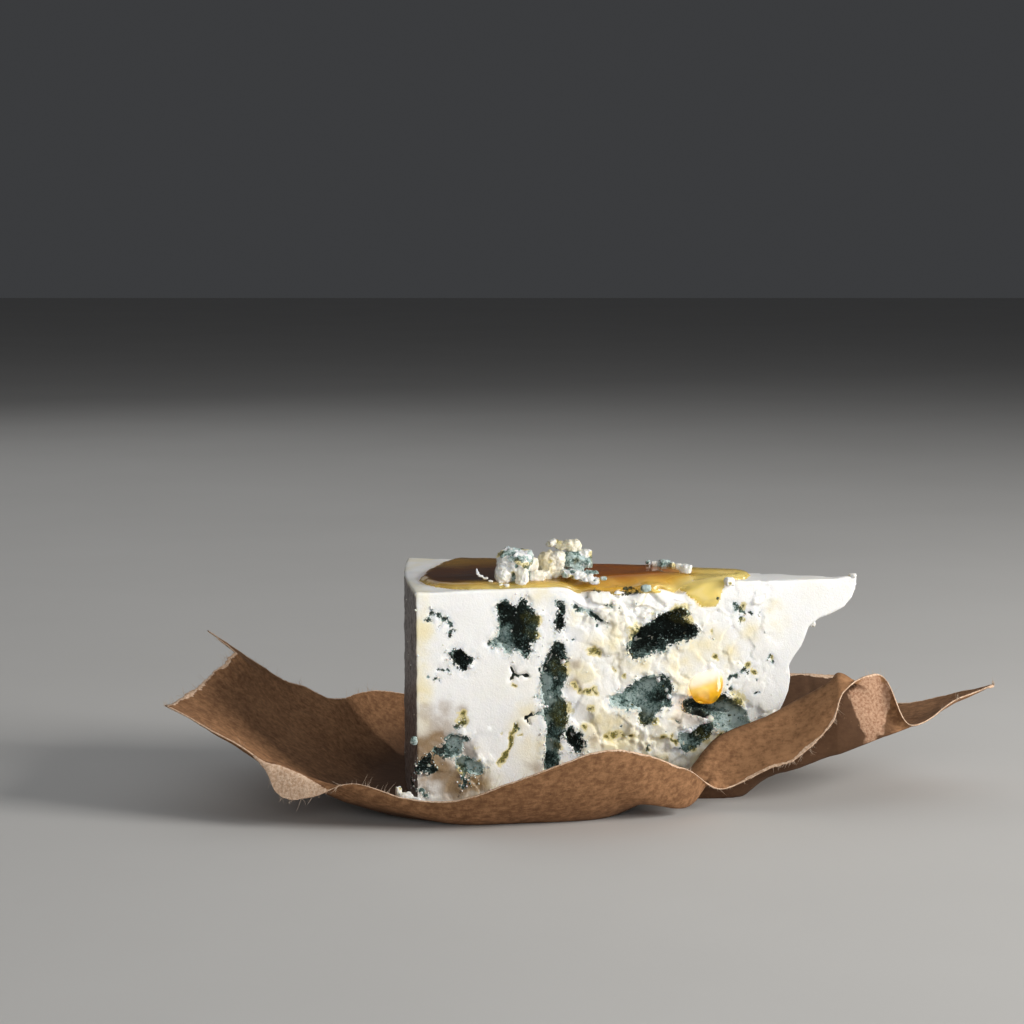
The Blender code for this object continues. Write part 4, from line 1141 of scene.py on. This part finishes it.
skin = read_places(wedge_mesh)
skin_normals = read_normals(wedge_mesh)
room = np.minimum(skin - np.array(WEDGE_LOW), np.array(WEDGE_HIGH) - skin).min(1)
inside_box = (room > CLEAR).astype(float) * (skin_normals[:, 2] > -0.5)
skin_mould = read_mask(wedge_mesh, "mould")
skin_powder = read_mask(wedge_mesh, "powder")
skin_stain = read_mask(wedge_mesh, "stain")
front_skin = ((skin - np.array(WEDGE_POINT)) @ np.array(face_normal(FRONT)) / MM > -7.0).astype(float)
favour_front = 0.35 + 0.65 * front_skin

bm = scattered((skin_mould > 0.9) * favour_front, count=2300, smallest=0.08, largest=0.26, seed=41)
tufts_mesh = mesh_of(bm, "mould_tufts")
mould_tuft, tree, shader = new_material("mould_tuft")
growth = add_mould(tree, 0.1, 0.30, between(tree, object_noise(tree, 210.0), 0.56, 0.66))
tree.links.new(growth.outputs["Color"], shader.inputs["Base Color"])
shader.inputs["Roughness"].default_value = 0.9
tufts = add_piece("mould_tufts", tufts_mesh, mould_tuft)
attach(tufts, "root")

torn_ground = np.clip(skin_powder * 0.8 + (skin_stain > 0.3) * 0.06 + 0.02, 0, 1)
torn_ground = torn_ground * (skin_mould < 0.6) * favour_front
bm = scattered(torn_ground, count=1100, smallest=0.10, largest=0.30, seed=43)
for ball_along, ball_height, ball_depth, radius in PASTE_BALLS:
    draw = random.Random(round(ball_along * 10))
    add_grain(bm, on_face(FRONT, ball_along, ball_height, ball_depth), radius * MM, draw)
grains_mesh = mesh_of(bm, "paste_grains")
paste_grain, tree, shader = new_material("paste_grain")
tone = object_noise(tree, 260.0)
colour = mixed(tree, between(tree, tone, 0.35, 0.65), (0.93, 0.925, 0.91, 1), (0.83, 0.80, 0.70, 1))
colour = mixed(tree, between(tree, object_noise(tree, 900.0), 0.58, 0.72), colour, (0.55, 0.62, 0.60, 1))
tree.links.new(colour, shader.inputs["Base Color"])
shader.inputs["Roughness"].default_value = 0.45
shader.inputs["Subsurface Weight"].default_value = 0.2
shader.inputs["Subsurface Scale"].default_value = 0.0008
grains = add_piece("paste_grains", grains_mesh, paste_grain)
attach(grains, "root")


# ---------------------------------------------------------------------------------------------
# The honey. A thick spoonful poured over the top, domed at its edge by its own surface tension.
# It lies against the far edge, runs over the near edge in two places, and left a drop lower down.
# ---------------------------------------------------------------------------------------------
HONEY_DEPTH = 1.15
HONEY_ROUNDING = 2.4
HONEY_SUNK = 0.9
HONEY_CLEARNESS = 0.62
HONEY_RIPPLE = 0.8 * MM
HONEY_GRID = 0.5
# The stretch that the grid covers: where it starts and how long it is, along the top and in.
GRID_START = (3, -8)
GRID_SIZE = (80, 58)
# The heavy bead at the end of the longer run, along the top and in.
HONEY_BEAD = (67.4, -4.6)
# The pool's outline: along the front face, and in from its top edge (below zero it hangs over).
HONEY_OUTLINE = (
    (6.2, 6.4), (9, 3.6), (12.5, 1.6), (20, 0.9), (30, 0.6), (37, 0.4), (40, -0.9), (42.8, -1.4),
    (45.5, -2.6), (48.5, -2.4), (51.8, -2.3), (54.2, -2.6), (56.2, -2.2), (58.3, 0.7), (60.4, 0.2),
    (61.6, -2.6), (64, -4.4), (65.4, -5.9), (67.7, -6.1), (69.4, -5.5), (70.6, -2.2), (71.6, 0.4),
    (74.6, 1.8), (77.4, 3.6), (79.6, 6.6), (80.4, 10.2), (79.2, 12.8), (75.4, 15), (68, 19.4), (60, 24),
    (45, 32), (30, 42.6), (22, 47), (16, 40), (9.5, 28), (5.5, 18), (4.8, 11))
# The fold that runs round the spoonful's right end, a shallow dent: along, in and half width.
HONEY_DENT = ((61, 9.5, 1.2), (66, 7.2, 2.0), (71, 6.0, 2.4), (75, 6.4, 1.4))


def from_outline(points, outline):
    """How far points are inside a closed outline; below zero is outside."""
    nearest = np.full(len(points), 1e9)
    within = np.zeros(len(points), bool)
    for (x0, y0), (x1, y1) in zip(outline, outline[1:] + outline[:1]):
        run = np.array((x1 - x0, y1 - y0))
        offset = points - np.array((x0, y0))
        share = np.clip(offset @ run / (run @ run), 0.0, 1.0)
        nearest = np.minimum(nearest, np.hypot(*(offset - share[:, None] * run).T))
        crosses = (y0 > points[:, 1]) != (y1 > points[:, 1])
        with np.errstate(divide="ignore", invalid="ignore"):
            within ^= crosses & (points[:, 0] < (x1 - x0) * (points[:, 1] - y0) / (y1 - y0) + x0)
    return np.where(within, nearest, -nearest)


def put_faces_in_order(bm):
    """Sorts the faces by their corners, because a swept or spun shape gives them in no set order."""
    bm.verts.index_update()
    count = len(bm.verts)

    def rank(face):
        first, second, third = sorted(vertex.index for vertex in face.verts)[:3]
        return (first * count + second) * count + third

    bm.faces.sort(key=rank)


cheese_tree = BVHTree.FromPolygons([v.co for v in wedge_mesh.vertices],
                                   [tuple(p.vertices) for p in wedge_mesh.polygons])


def onto_cheese(place_along, place_in):
    """A place on the cheese's skin and the way out of it: along the top front edge and in from it.

    Where the second is below zero, the place is that far down the front face instead.
    """
    down = 1 - float(smooth_between(-2.6, 2.6, np.array(place_in)))
    direction = -(Vector((0, 0, 1)) * (1 - down) + face_normal(FRONT) * down).normalized()
    ideal = on_face(FRONT, place_along, (WEDGE_TOP / MM) + min(place_in, 0.0), max(place_in, 0.0))
    hit = cheese_tree.ray_cast(ideal - direction * 5 * MM, direction, 16 * MM)
    return (hit[0] or ideal), -direction


bm = bmesh.new()
columns, rows = (int(length / HONEY_GRID) for length in GRID_SIZE)
bmesh.ops.create_grid(bm, x_segments=columns, y_segments=rows, size=0.5)
spots = np.array([(v.co.x + 0.5, v.co.y + 0.5) for v in bm.verts]) * GRID_SIZE + GRID_START
wobble = column(noise.noise(Vector((a * 0.31, b * 0.31, 2.0)))
                + 0.4 * noise.noise(Vector((a * 1.1, b * 1.1, 5.0))) for a, b in spots)
field = from_outline(spots, HONEY_OUTLINE) + 0.32 * wobble * (spots[:, 1] > -1.0)
bmesh.ops.delete(bm, geom=[v for v in bm.verts if field[v.index] < -0.35], context="VERTS")
bm.verts.index_update()
kept = field >= -0.35
spots, field = spots[kept], field[kept]
outward = bm.verts.layers.float_vector.new("outward")
lift = bm.verts.layers.float.new("lift")
rim_share = bm.verts.layers.float.new("rim_share")
rim = np.clip(field / HONEY_ROUNDING, 0, 1)
hanging = 1 - smooth_between(-3.4, -0.6, spots[:, 1])
dent = stroked(spots[:, 0], spots[:, 1], HONEY_DENT, 0.8)
swell = 0.16 * column(noise.noise(Vector((a * 0.09, b * 0.09, 9.0))) for a, b in spots)
domed = np.sqrt(np.clip(1 - (1 - rim) ** 2, 0, 1))
thickness = domed * (HONEY_DEPTH * (1 - 0.30 * hanging) + swell) - 0.55 * dent * rim
bead = np.exp(-((spots[:, 0] - HONEY_BEAD[0]) ** 2 / 5.0 + (spots[:, 1] - HONEY_BEAD[1]) ** 2 / 1.6))
thickness += 0.5 * bead
for vertex, (a, b), thick, inner in zip(bm.verts, spots, thickness, rim):
    vertex.co, vertex[outward] = onto_cheese(a, b)
    vertex[lift] = thick
    vertex[rim_share] = inner
for _ in range(10):
    bmesh.ops.smooth_vert(bm, verts=[v for v in bm.verts if not v.is_boundary], factor=0.5,
                          use_axis_x=True, use_axis_y=True, use_axis_z=True)
raised = bmesh.ops.extrude_face_region(bm, geom=bm.faces[:], use_keep_orig=True)["geom"]
raised = {v for v in raised if isinstance(v, bmesh.types.BMVert)}
for vertex in bm.verts:
    move = vertex[lift] if vertex in raised else -HONEY_SUNK
    vertex.co += vertex[outward] * move * MM
bmesh.ops.recalc_face_normals(bm, faces=bm.faces)
put_faces_in_order(bm)
honey_mesh = mesh_of(bm, "honey_pool")
honey_depth = read_mask(honey_mesh, "rim_share")
honey_places = read_places(honey_mesh)
x, _, z = (honey_places / MM).T
from_point = honey_places - np.array(WEDGE_POINT)
pool_along = (FRONT_LENGTH + from_point @ np.array(face_direction(FRONT))) / MM
pool_in = -(from_point @ np.array(face_normal(FRONT))) / MM
# The depth mask holds the honey's thickness at its rim and painted shade: the pool is painted darker from
# the front edge inwards, lighter again at the far back and at its right end, and kept darker on the left.
# The second mask paints the deep honey amber on the right, a painted glow as if lit from behind, and brown
# in painted shade on the left.
drift = 1.6 * bumps(honey_places, 110, 3) + 0.8 * bumps(honey_places, 300, 8)
painted_pool_shade = smooth_between(0.5, 10.0, pool_in + 1.2 * drift) * smooth_between(4.0, 7.0, pool_along + drift)
painted_pool_shade *= 1 - 0.62 * smooth_between(17, 36, pool_in + 3 * drift)
painted_pool_shade *= 1 - 0.85 * smooth_between(58, 70, pool_along + 0.6 * drift)
thinnest = 0.40 * (1 - smooth_between(50, 60, pool_along))
write_mask(honey_mesh, "depth", honey_depth ** 0.6 * (thinnest + (1 - thinnest) * painted_pool_shade))
write_mask(honey_mesh, "amber_and_painted_glow", smooth_between(-12, 2, x))


def honey_material(name, thin, middle, thick, amber_and_painted_glow):
    """Clear honey, from its colour in a thin film to its colour in a deep pool, brown or amber; on the pool
    these deep colours are painted shade and a painted glow.
    """
    material, tree, shader = new_material(name)
    depth = plus(tree, mask(tree, "depth"), times(tree, object_noise(tree, 95.0), 0.16))
    deep_colour = mixed(tree, mask(tree, "amber_and_painted_glow"), thick, amber_and_painted_glow)
    colour = mixed(tree, between(tree, depth, 0.08, 0.46), thin, middle)
    colour = mixed(tree, between(tree, depth, 0.40, 0.95), colour, deep_colour)
    tree.links.new(colour, shader.inputs["Base Color"])
    shader.inputs["Roughness"].default_value = 0.05
    shader.inputs["IOR"].default_value = 1.42
    shader.inputs["Specular IOR Level"].default_value = 0.3
    shader.inputs["Transmission Weight"].default_value = HONEY_CLEARNESS
    ripples = object_noise(tree, 130.0, detail=1.0)
    ripple = add_node(tree, "ShaderNodeBump", Strength=0.25, Distance=HONEY_RIPPLE, Height=ripples)
    tree.links.new(ripple.outputs["Normal"], shader.inputs["Normal"])
    clear = add_node(tree, "ShaderNodeBsdfTransparent")
    tree.links.new(colour, clear.inputs["Color"])
    shadow = add_node(tree, "ShaderNodeLightPath").outputs["Is Shadow Ray"]
    blend = add_node(tree, "ShaderNodeMixShader", Fac=shadow, i1=shader.outputs[0], i2=clear.outputs[0])
    output = next(node for node in tree.nodes if node.type == "OUTPUT_MATERIAL")
    tree.links.new(blend.outputs[0], output.inputs["Surface"])
    return material


# The pool's thick brown is painted shade, and its amber is a painted glow.
honey = honey_material("honey", thin=(0.75, 0.62, 0.24, 1), middle=(0.58, 0.37, 0.06, 1),
                       thick=(0.13, 0.045, 0.003, 1), amber_and_painted_glow=(0.36, 0.12, 0.004, 1))
pool = add_piece("honey_pool", honey_mesh, honey)
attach(pool, "root")

# Dark bits of mould that washed into the honey, along its front edge and round its longer run.
honey_normals = read_normals(honey_mesh)
bared = (honey_normals[:, 2] > 0.2) | (honey_normals @ np.array(face_normal(FRONT)) > 0.4)
below_top = WEDGE_TOP / MM - z
strip = (np.abs(pool_along - 50.5) < 9.5) * (pool_in < 5.0) * (below_top < 2.8)
strip = strip * smooth_between(0.05, 0.4, bumps(honey_places, 150, 14))
run_rim = (np.abs(pool_along - 66.6) < 2.8) * (below_top > 4.0)
draw = random.Random(61)
bm = bmesh.new()
for chance, count in ((strip * bared, 90), (run_rim * bared, 24)):
    for i in draw.choices(range(len(honey_places)), weights=chance, k=count):
        radius = (0.10 + 0.24 * draw.random() ** 2) * MM
        aside = Vector([draw.uniform(-0.25, 0.25) for _ in range(3)]) * MM
        aside -= Vector(honey_normals[i]) * aside.dot(Vector(honey_normals[i]))
        add_grain(bm, Vector(honey_places[i]) + aside, radius, draw)
mould_fleck, tree, shader = new_material("mould_fleck")
growth = add_mould(tree, 0.8, 0.0, 0.35)
tree.links.new(growth.outputs["Color"], shader.inputs["Base Color"])
shader.inputs["Roughness"].default_value = 0.35
flecks = add_piece("honey_flecks", mesh_of(bm, "honey_flecks"), mould_fleck)
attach(flecks, "root")

# The drop on the front face: full and golden below, thin and milky where it joins the paste above.
# Its middle, and its half sizes along the face, out of it and up it, in millimetres.
DROP_MIDDLE = on_face(FRONT, 66.9, 26.2, 0.45)
DROP_ALONG, DROP_OUT, DROP_UP = 4.3, 1.45, 4.8
bm = bmesh.new()
bmesh.ops.create_uvsphere(bm, u_segments=40, v_segments=24, radius=1.0)
for vertex in bm.verts:
    c = vertex.co
    sag = 1.0 + 0.10 * max(-c.z, 0.0) - 0.24 * max(c.z, 0.0) + 0.24 * noise.noise(c * 1.5)
    fullness = 1 - 0.7 * c.z + 0.25 * c.x
    vertex.co = Vector(((c.x * DROP_ALONG + 1.3 * c.z) * sag, c.y * DROP_OUT * fullness,
                        c.z * DROP_UP * sag))
turn = Matrix.Rotation(HALF_ANGLE, 4, "Z") @ Matrix.Rotation(math.radians(-25), 4, "X")
turn = turn @ Matrix.Rotation(math.radians(-24), 4, "Y")
bmesh.ops.transform(bm, verts=bm.verts, matrix=Matrix.Translation(DROP_MIDDLE) @ turn @ Matrix.Scale(MM, 4))
put_faces_in_order(bm)
drop_mesh = mesh_of(bm, "honey_drop")
drop_places = read_places(drop_mesh)
drop_height = (drop_places[:, 2] - DROP_MIDDLE.z) / MM
drop_along = (drop_places - np.array(DROP_MIDDLE)) @ np.array(face_direction(FRONT)) / MM
write_mask(drop_mesh, "depth", 0.85 * (1 - smooth_between(-3.6, 0.8, drop_height - 0.30 * drop_along)))
write_mask(drop_mesh, "amber_and_painted_glow", np.ones(len(drop_places)))
drop_honey = honey_material("honey_drop", thin=(0.93, 0.90, 0.82, 1), middle=(0.87, 0.65, 0.20, 1),
                            thick=(0.70, 0.41, 0.022, 1), amber_and_painted_glow=(0.72, 0.42, 0.022, 1))
drop = add_piece("honey_drop", drop_mesh, drop_honey)
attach(drop, "root")


# ---------------------------------------------------------------------------------------------
# The crumbs on top. Five larger pieces broken off the same cheese lie in the honey, leaning on one
# another, with smaller ones round them, on the honey and on the paper by the rind's corner.
# ---------------------------------------------------------------------------------------------
CRUMB_GRAIN = 0.18 * MM
SMALL_GRAIN = 0.14 * MM
# Each crumb is some lumps grown together: middle and half sizes in millimetres, turn about the
# vertical in degrees, how square, how mouldy and how creamy.
CRUMBS = {
    "crumb_dome": (((-16.1, -15.5, 53.9), (4.2, 3.9, 3.0), 0, 0.0, 0.34, 0.05),
                   ((-15.8, -17.6, 54.6), (2.7, 1.8, 1.0), 0, 0.1, 0.8, 0.0),
                   ((-18.6, -16.9, 51.2), (2.0, 2.2, 2.4), 10, 0.15, 0.0, 0.15),
                   ((-14.6, -17.5, 50.8), (1.55, 1.8, 2.7), -12, 0.2, 0.0, 0.3),
                   ((-16.0, -14.0, 51.0), (3.4, 2.6, 2.8), 0, 0.1, 0.6, 0.0),
                   ((-19.2, -19.2, 48.8), (0.8, 0.8, 0.7), 30, 0.5, 0.1, 0.0),
                   ((-17.8, -19.6, 48.9), (0.7, 0.6, 0.6), 10, 0.5, 0.2, 0.0)),
    "crumb_cream": (((-8.0, -10.2, 52.2), (2.9, 2.6, 3.2), 14, 0.35, 0.0, 0.7),
                    ((-6.5, -10.4, 54.0), (1.5, 1.8, 1.5), 30, 0.4, 0.0, 0.4),
                    ((-9.6, -10.4, 53.3), (1.4, 1.8, 1.6), -20, 0.3, 0.0, 0.8),
                    ((-7.6, -10.6, 49.9), (1.7, 1.6, 1.3), 5, 0.3, 0.1, 0.4),
                    ((-9.8, -12.6, 49.9), (1.7, 1.5, 1.5), 25, 0.35, 0.0, 0.2)),
    "crumb_blue": (((-2.4, -8.6, 53.3), (3.3, 2.3, 2.2), 18, 0.25, 0.75, 0.0),
                   ((-4.6, -8.8, 53.2), (1.6, 1.7, 1.5), 0, 0.3, 0.7, 0.0),
                   ((-0.3, -8.8, 52.4), (1.4, 1.6, 1.3), -25, 0.4, 0.5, 0.0),
                   ((-0.4, -8.8, 54.4), (1.3, 1.4, 1.2), 40, 0.4, 0.1, 0.0),
                   ((-2.0, -9.2, 51.0), (1.6, 1.5, 1.0), 0, 0.3, 0.9, 0.0)),
    "crumb_top": (((-3.1, -8.5, 56.3), (1.9, 1.9, 1.5), 12, 0.6, 0.0, 0.6),
                  ((-5.3, -8.4, 56.3), (1.9, 1.6, 1.0), -8, 0.4, 0.0, 0.8),
                  ((-7.6, -8.3, 56.8), (1.5, 1.3, 0.95), 30, 0.5, 0.05, 0.3)),
    "crumb_slab": (((-4.2, -13.6, 50.8), (1.7, 1.8, 1.0), 4, 0.4, 0.6, 0.0),
                   ((-2.2, -13.6, 50.4), (1.7, 1.8, 1.0), -6, 0.4, 0.3, 0.0),
                   ((-0.2, -13.6, 49.7), (1.7, 1.8, 1.0), 10, 0.4, 0.25, 0.1),
                   ((1.6, -13.6, 49.1), (1.3, 1.5, 0.8), 0, 0.4, 0.3, 0.1),
                   ((0.4, -12.6, 50.9), (2.2, 0.9, 0.5), -12, 0.5, 0.95, 0.0))}
# The small crumbs, one piece: on the honey round the larger ones, sunk at the honey's edge, under the
# point, and on the paper by the rind. A curled white shaving stands in the honey on the left.
SMALL_CRUMBS = (
    ((-12.4, -14.6, 53), (1.6, 1.5, 1.6), 12, 0.5, 0, 0.35),
    ((-11.2, -14.6, 49.9), (1.9, 1.6, 1.8), 0, 0.3, 0, 0.15),
    ((17.9, 5.6, 50.2), (1.5, 1.2, 1.2), 20, 0.4, 0.85, 0),
    ((15.8, 5.9, 50.2), (0.8, 0.7, 0.8), 0, 0.4, 0.3, 0.2),
    ((19.6, 4.8, 50.1), (0.9, 0.8, 0.7), 50, 0.4, 0.5, 0),
    ((14.4, 9, 50.2), (0.6, 0.6, 0.6), 0, 0.4, 0.2, 0),
    ((22.3, -2.6, 50.2), (1.6, 1.2, 1.2), -25, 0.45, 0, 0),
    ((20.7, -2, 50.7), (0.8, 0.8, 0.8), 0, 0.4, 0.15, 0),
    ((12.9, -12.6, 47.3), (1.3, 0.9, 0.9), 10, 0.4, 0.85, 0),
    ((31.8, -7.6, 48.1), (1.3, 1, 1.1), 30, 0.5, 0, 0),
    ((3.6, -12.2, 49.4), (0.8, 0.7, 0.5), 0, 0.4, 0.6, 0.2),
    ((51.4, 0.9, 37.3), (0.7, 0.7, 0.8), 0, 0.1, 0, 0),
    ((60.4, 1.8, 48.1), (1, 0.7, 0.65), -14, 0.1, 0, 0),
    ((-39.9, -28.9, 3.7), (1.8, 1.1, 1.4), 20, 0.6, 0.05, 0),
    ((-37.8, -29.4, 3.1), (1.6, 0.9, 1), -10, 0.6, 0, 0),
    ((-41.3, -28.5, 4.9), (0.8, 0.7, 1.4), 30, 0.6, 0.2, 0),
    ((-36.8, -29.6, 2.3), (0.8, 0.6, 0.5), 0, 0.5, 0, 0.1),
    ((-38, -27, 16), (0.9, 0.8, 1), 0, 0.1, 0.9, 0),
    ((-24.4, -19, 52.2), (0.24, 0.2, 0.5), 0, 0.1, 0, 0),
    ((-24.2, -19, 51.5), (0.34, 0.3, 0.5), 0, 0.2, 0, 0),
    ((-23.5, -19, 50.9), (0.6, 0.3, 0.34), 0, 0.2, 0, 0.1),
    ((-22.5, -19, 50.4), (0.6, 0.28, 0.3), 0, 0.2, 0, 0.2),
    ((-21.4, -19, 49.8), (0.6, 0.26, 0.3), 0, 0.2, 0, 0.2),
    ((-20.4, -19, 49.2), (0.6, 0.25, 0.3), 0, 0.2, 0, 0.2))


def add_lump(bm, middle, sizes, turn, square, detail=4):
    """A rounded or squarish lump of crumb."""
    verts = bmesh.ops.create_icosphere(bm, subdivisions=detail, radius=1.0)["verts"]
    seed = Vector(middle)
    for vertex in verts:
        direction = vertex.co.copy()
        boxed = direction / max(abs(direction.x), abs(direction.y), abs(direction.z)) * 0.86
        ragged = 0.20 * noise.noise(direction * 1.7 + seed) + 0.12 * noise.noise(direction * 4.0 + seed)
        vertex.co = direction.lerp(boxed, min(square + 0.15, 0.75)) * (1.0 + ragged)
    placed = Matrix.Translation(Vector(middle) * MM) @ Matrix.Rotation(math.radians(turn), 4, "Z")
    bmesh.ops.scale(bm, verts=verts, vec=Vector(sizes) * MM)
    bmesh.ops.transform(bm, verts=verts, matrix=placed)


def add_crumb(name, crumb, grain, detail=4):
    """Grows the lumps together, crumbles their skin and gives them their mould."""
    bm = bmesh.new()
    for middle, sizes, turn, square, _, _ in crumb:
        add_lump(bm, middle, sizes, turn, square, detail)
    mesh = remeshed(add_piece(name, mesh_of(bm, name), plain), grain, name)
    places, normals = read_places(mesh), read_normals(mesh)
    warp = np.stack([bumps(places, 400, 3)] * 3, 1)
    heights, joint = lumps(places + 0.5 * MM * warp, 1.5 * MM, 1.4)
    small = min(min(lump[1]) for lump in crumb) < 0.4
    rise = (0.20 * heights - 0.16 * joint ** 2) * (0.3 if small else 1.0)
    rise += 0.10 * bumps(places, 900) + 0.06 * bumps(places, 2200)
    places = places + normals * (rise * MM)[:, None]
    write_places(mesh, np.clip(places, np.array(cad_box[0]), np.array(cad_box[1])))
    middles, sizes, _, _, mouldy, creamy = zip(*crumb)
    away = [np.linalg.norm((places / MM - np.array(middle)) / np.array(size), axis=1)
            for middle, size in zip(middles, sizes)]
    nearest = np.argmin(away, axis=0)
    mouldiness = np.array(mouldy)[nearest]
    creaminess = np.array(creamy)[nearest]
    patch = 0.6 * bumps(places, 330, 4) + 0.55 * bumps(places, 1100, 9)
    write_mask(mesh, "mould", smooth_between(0.25, 0.85, patch + 1.25 * mouldiness))
    stained = smooth_between(0.35, 0.6, bumps(places, 420, 17) + 0.25 * (mouldiness > 0))
    write_mask(mesh, "stain", 0.75 * stained)
    write_mask(mesh, "cream", creaminess + 0.4 * bumps(places, 260, 6) + 0.3 * joint)
    write_mask(mesh, "tan", 0.25 * smooth_between(0.2, 0.5, bumps(places, 210, 12)) * (creaminess > 0.5))
    write_mask(mesh, "powder", 0.35 + 0.6 * mouldiness + 0.5 * smooth_between(0.1, 0.4, patch) - creaminess)
    for empty in ("rind", "dark"):
        write_mask(mesh, empty, np.zeros(len(places)))
    write_mask(mesh, "pale", 0.25 + 0.55 * smooth_between(-0.3, 0.4, bumps(places, 480, 7)))
    piece = add_piece(name, mesh, paste)
    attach(piece, "root")
    return piece


for node, crumb in CRUMBS.items():
    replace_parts(add_crumb("broken_" + node, crumb, CRUMB_GRAIN), node)
add_crumb("small_crumbs", SMALL_CRUMBS, SMALL_GRAIN, 3)
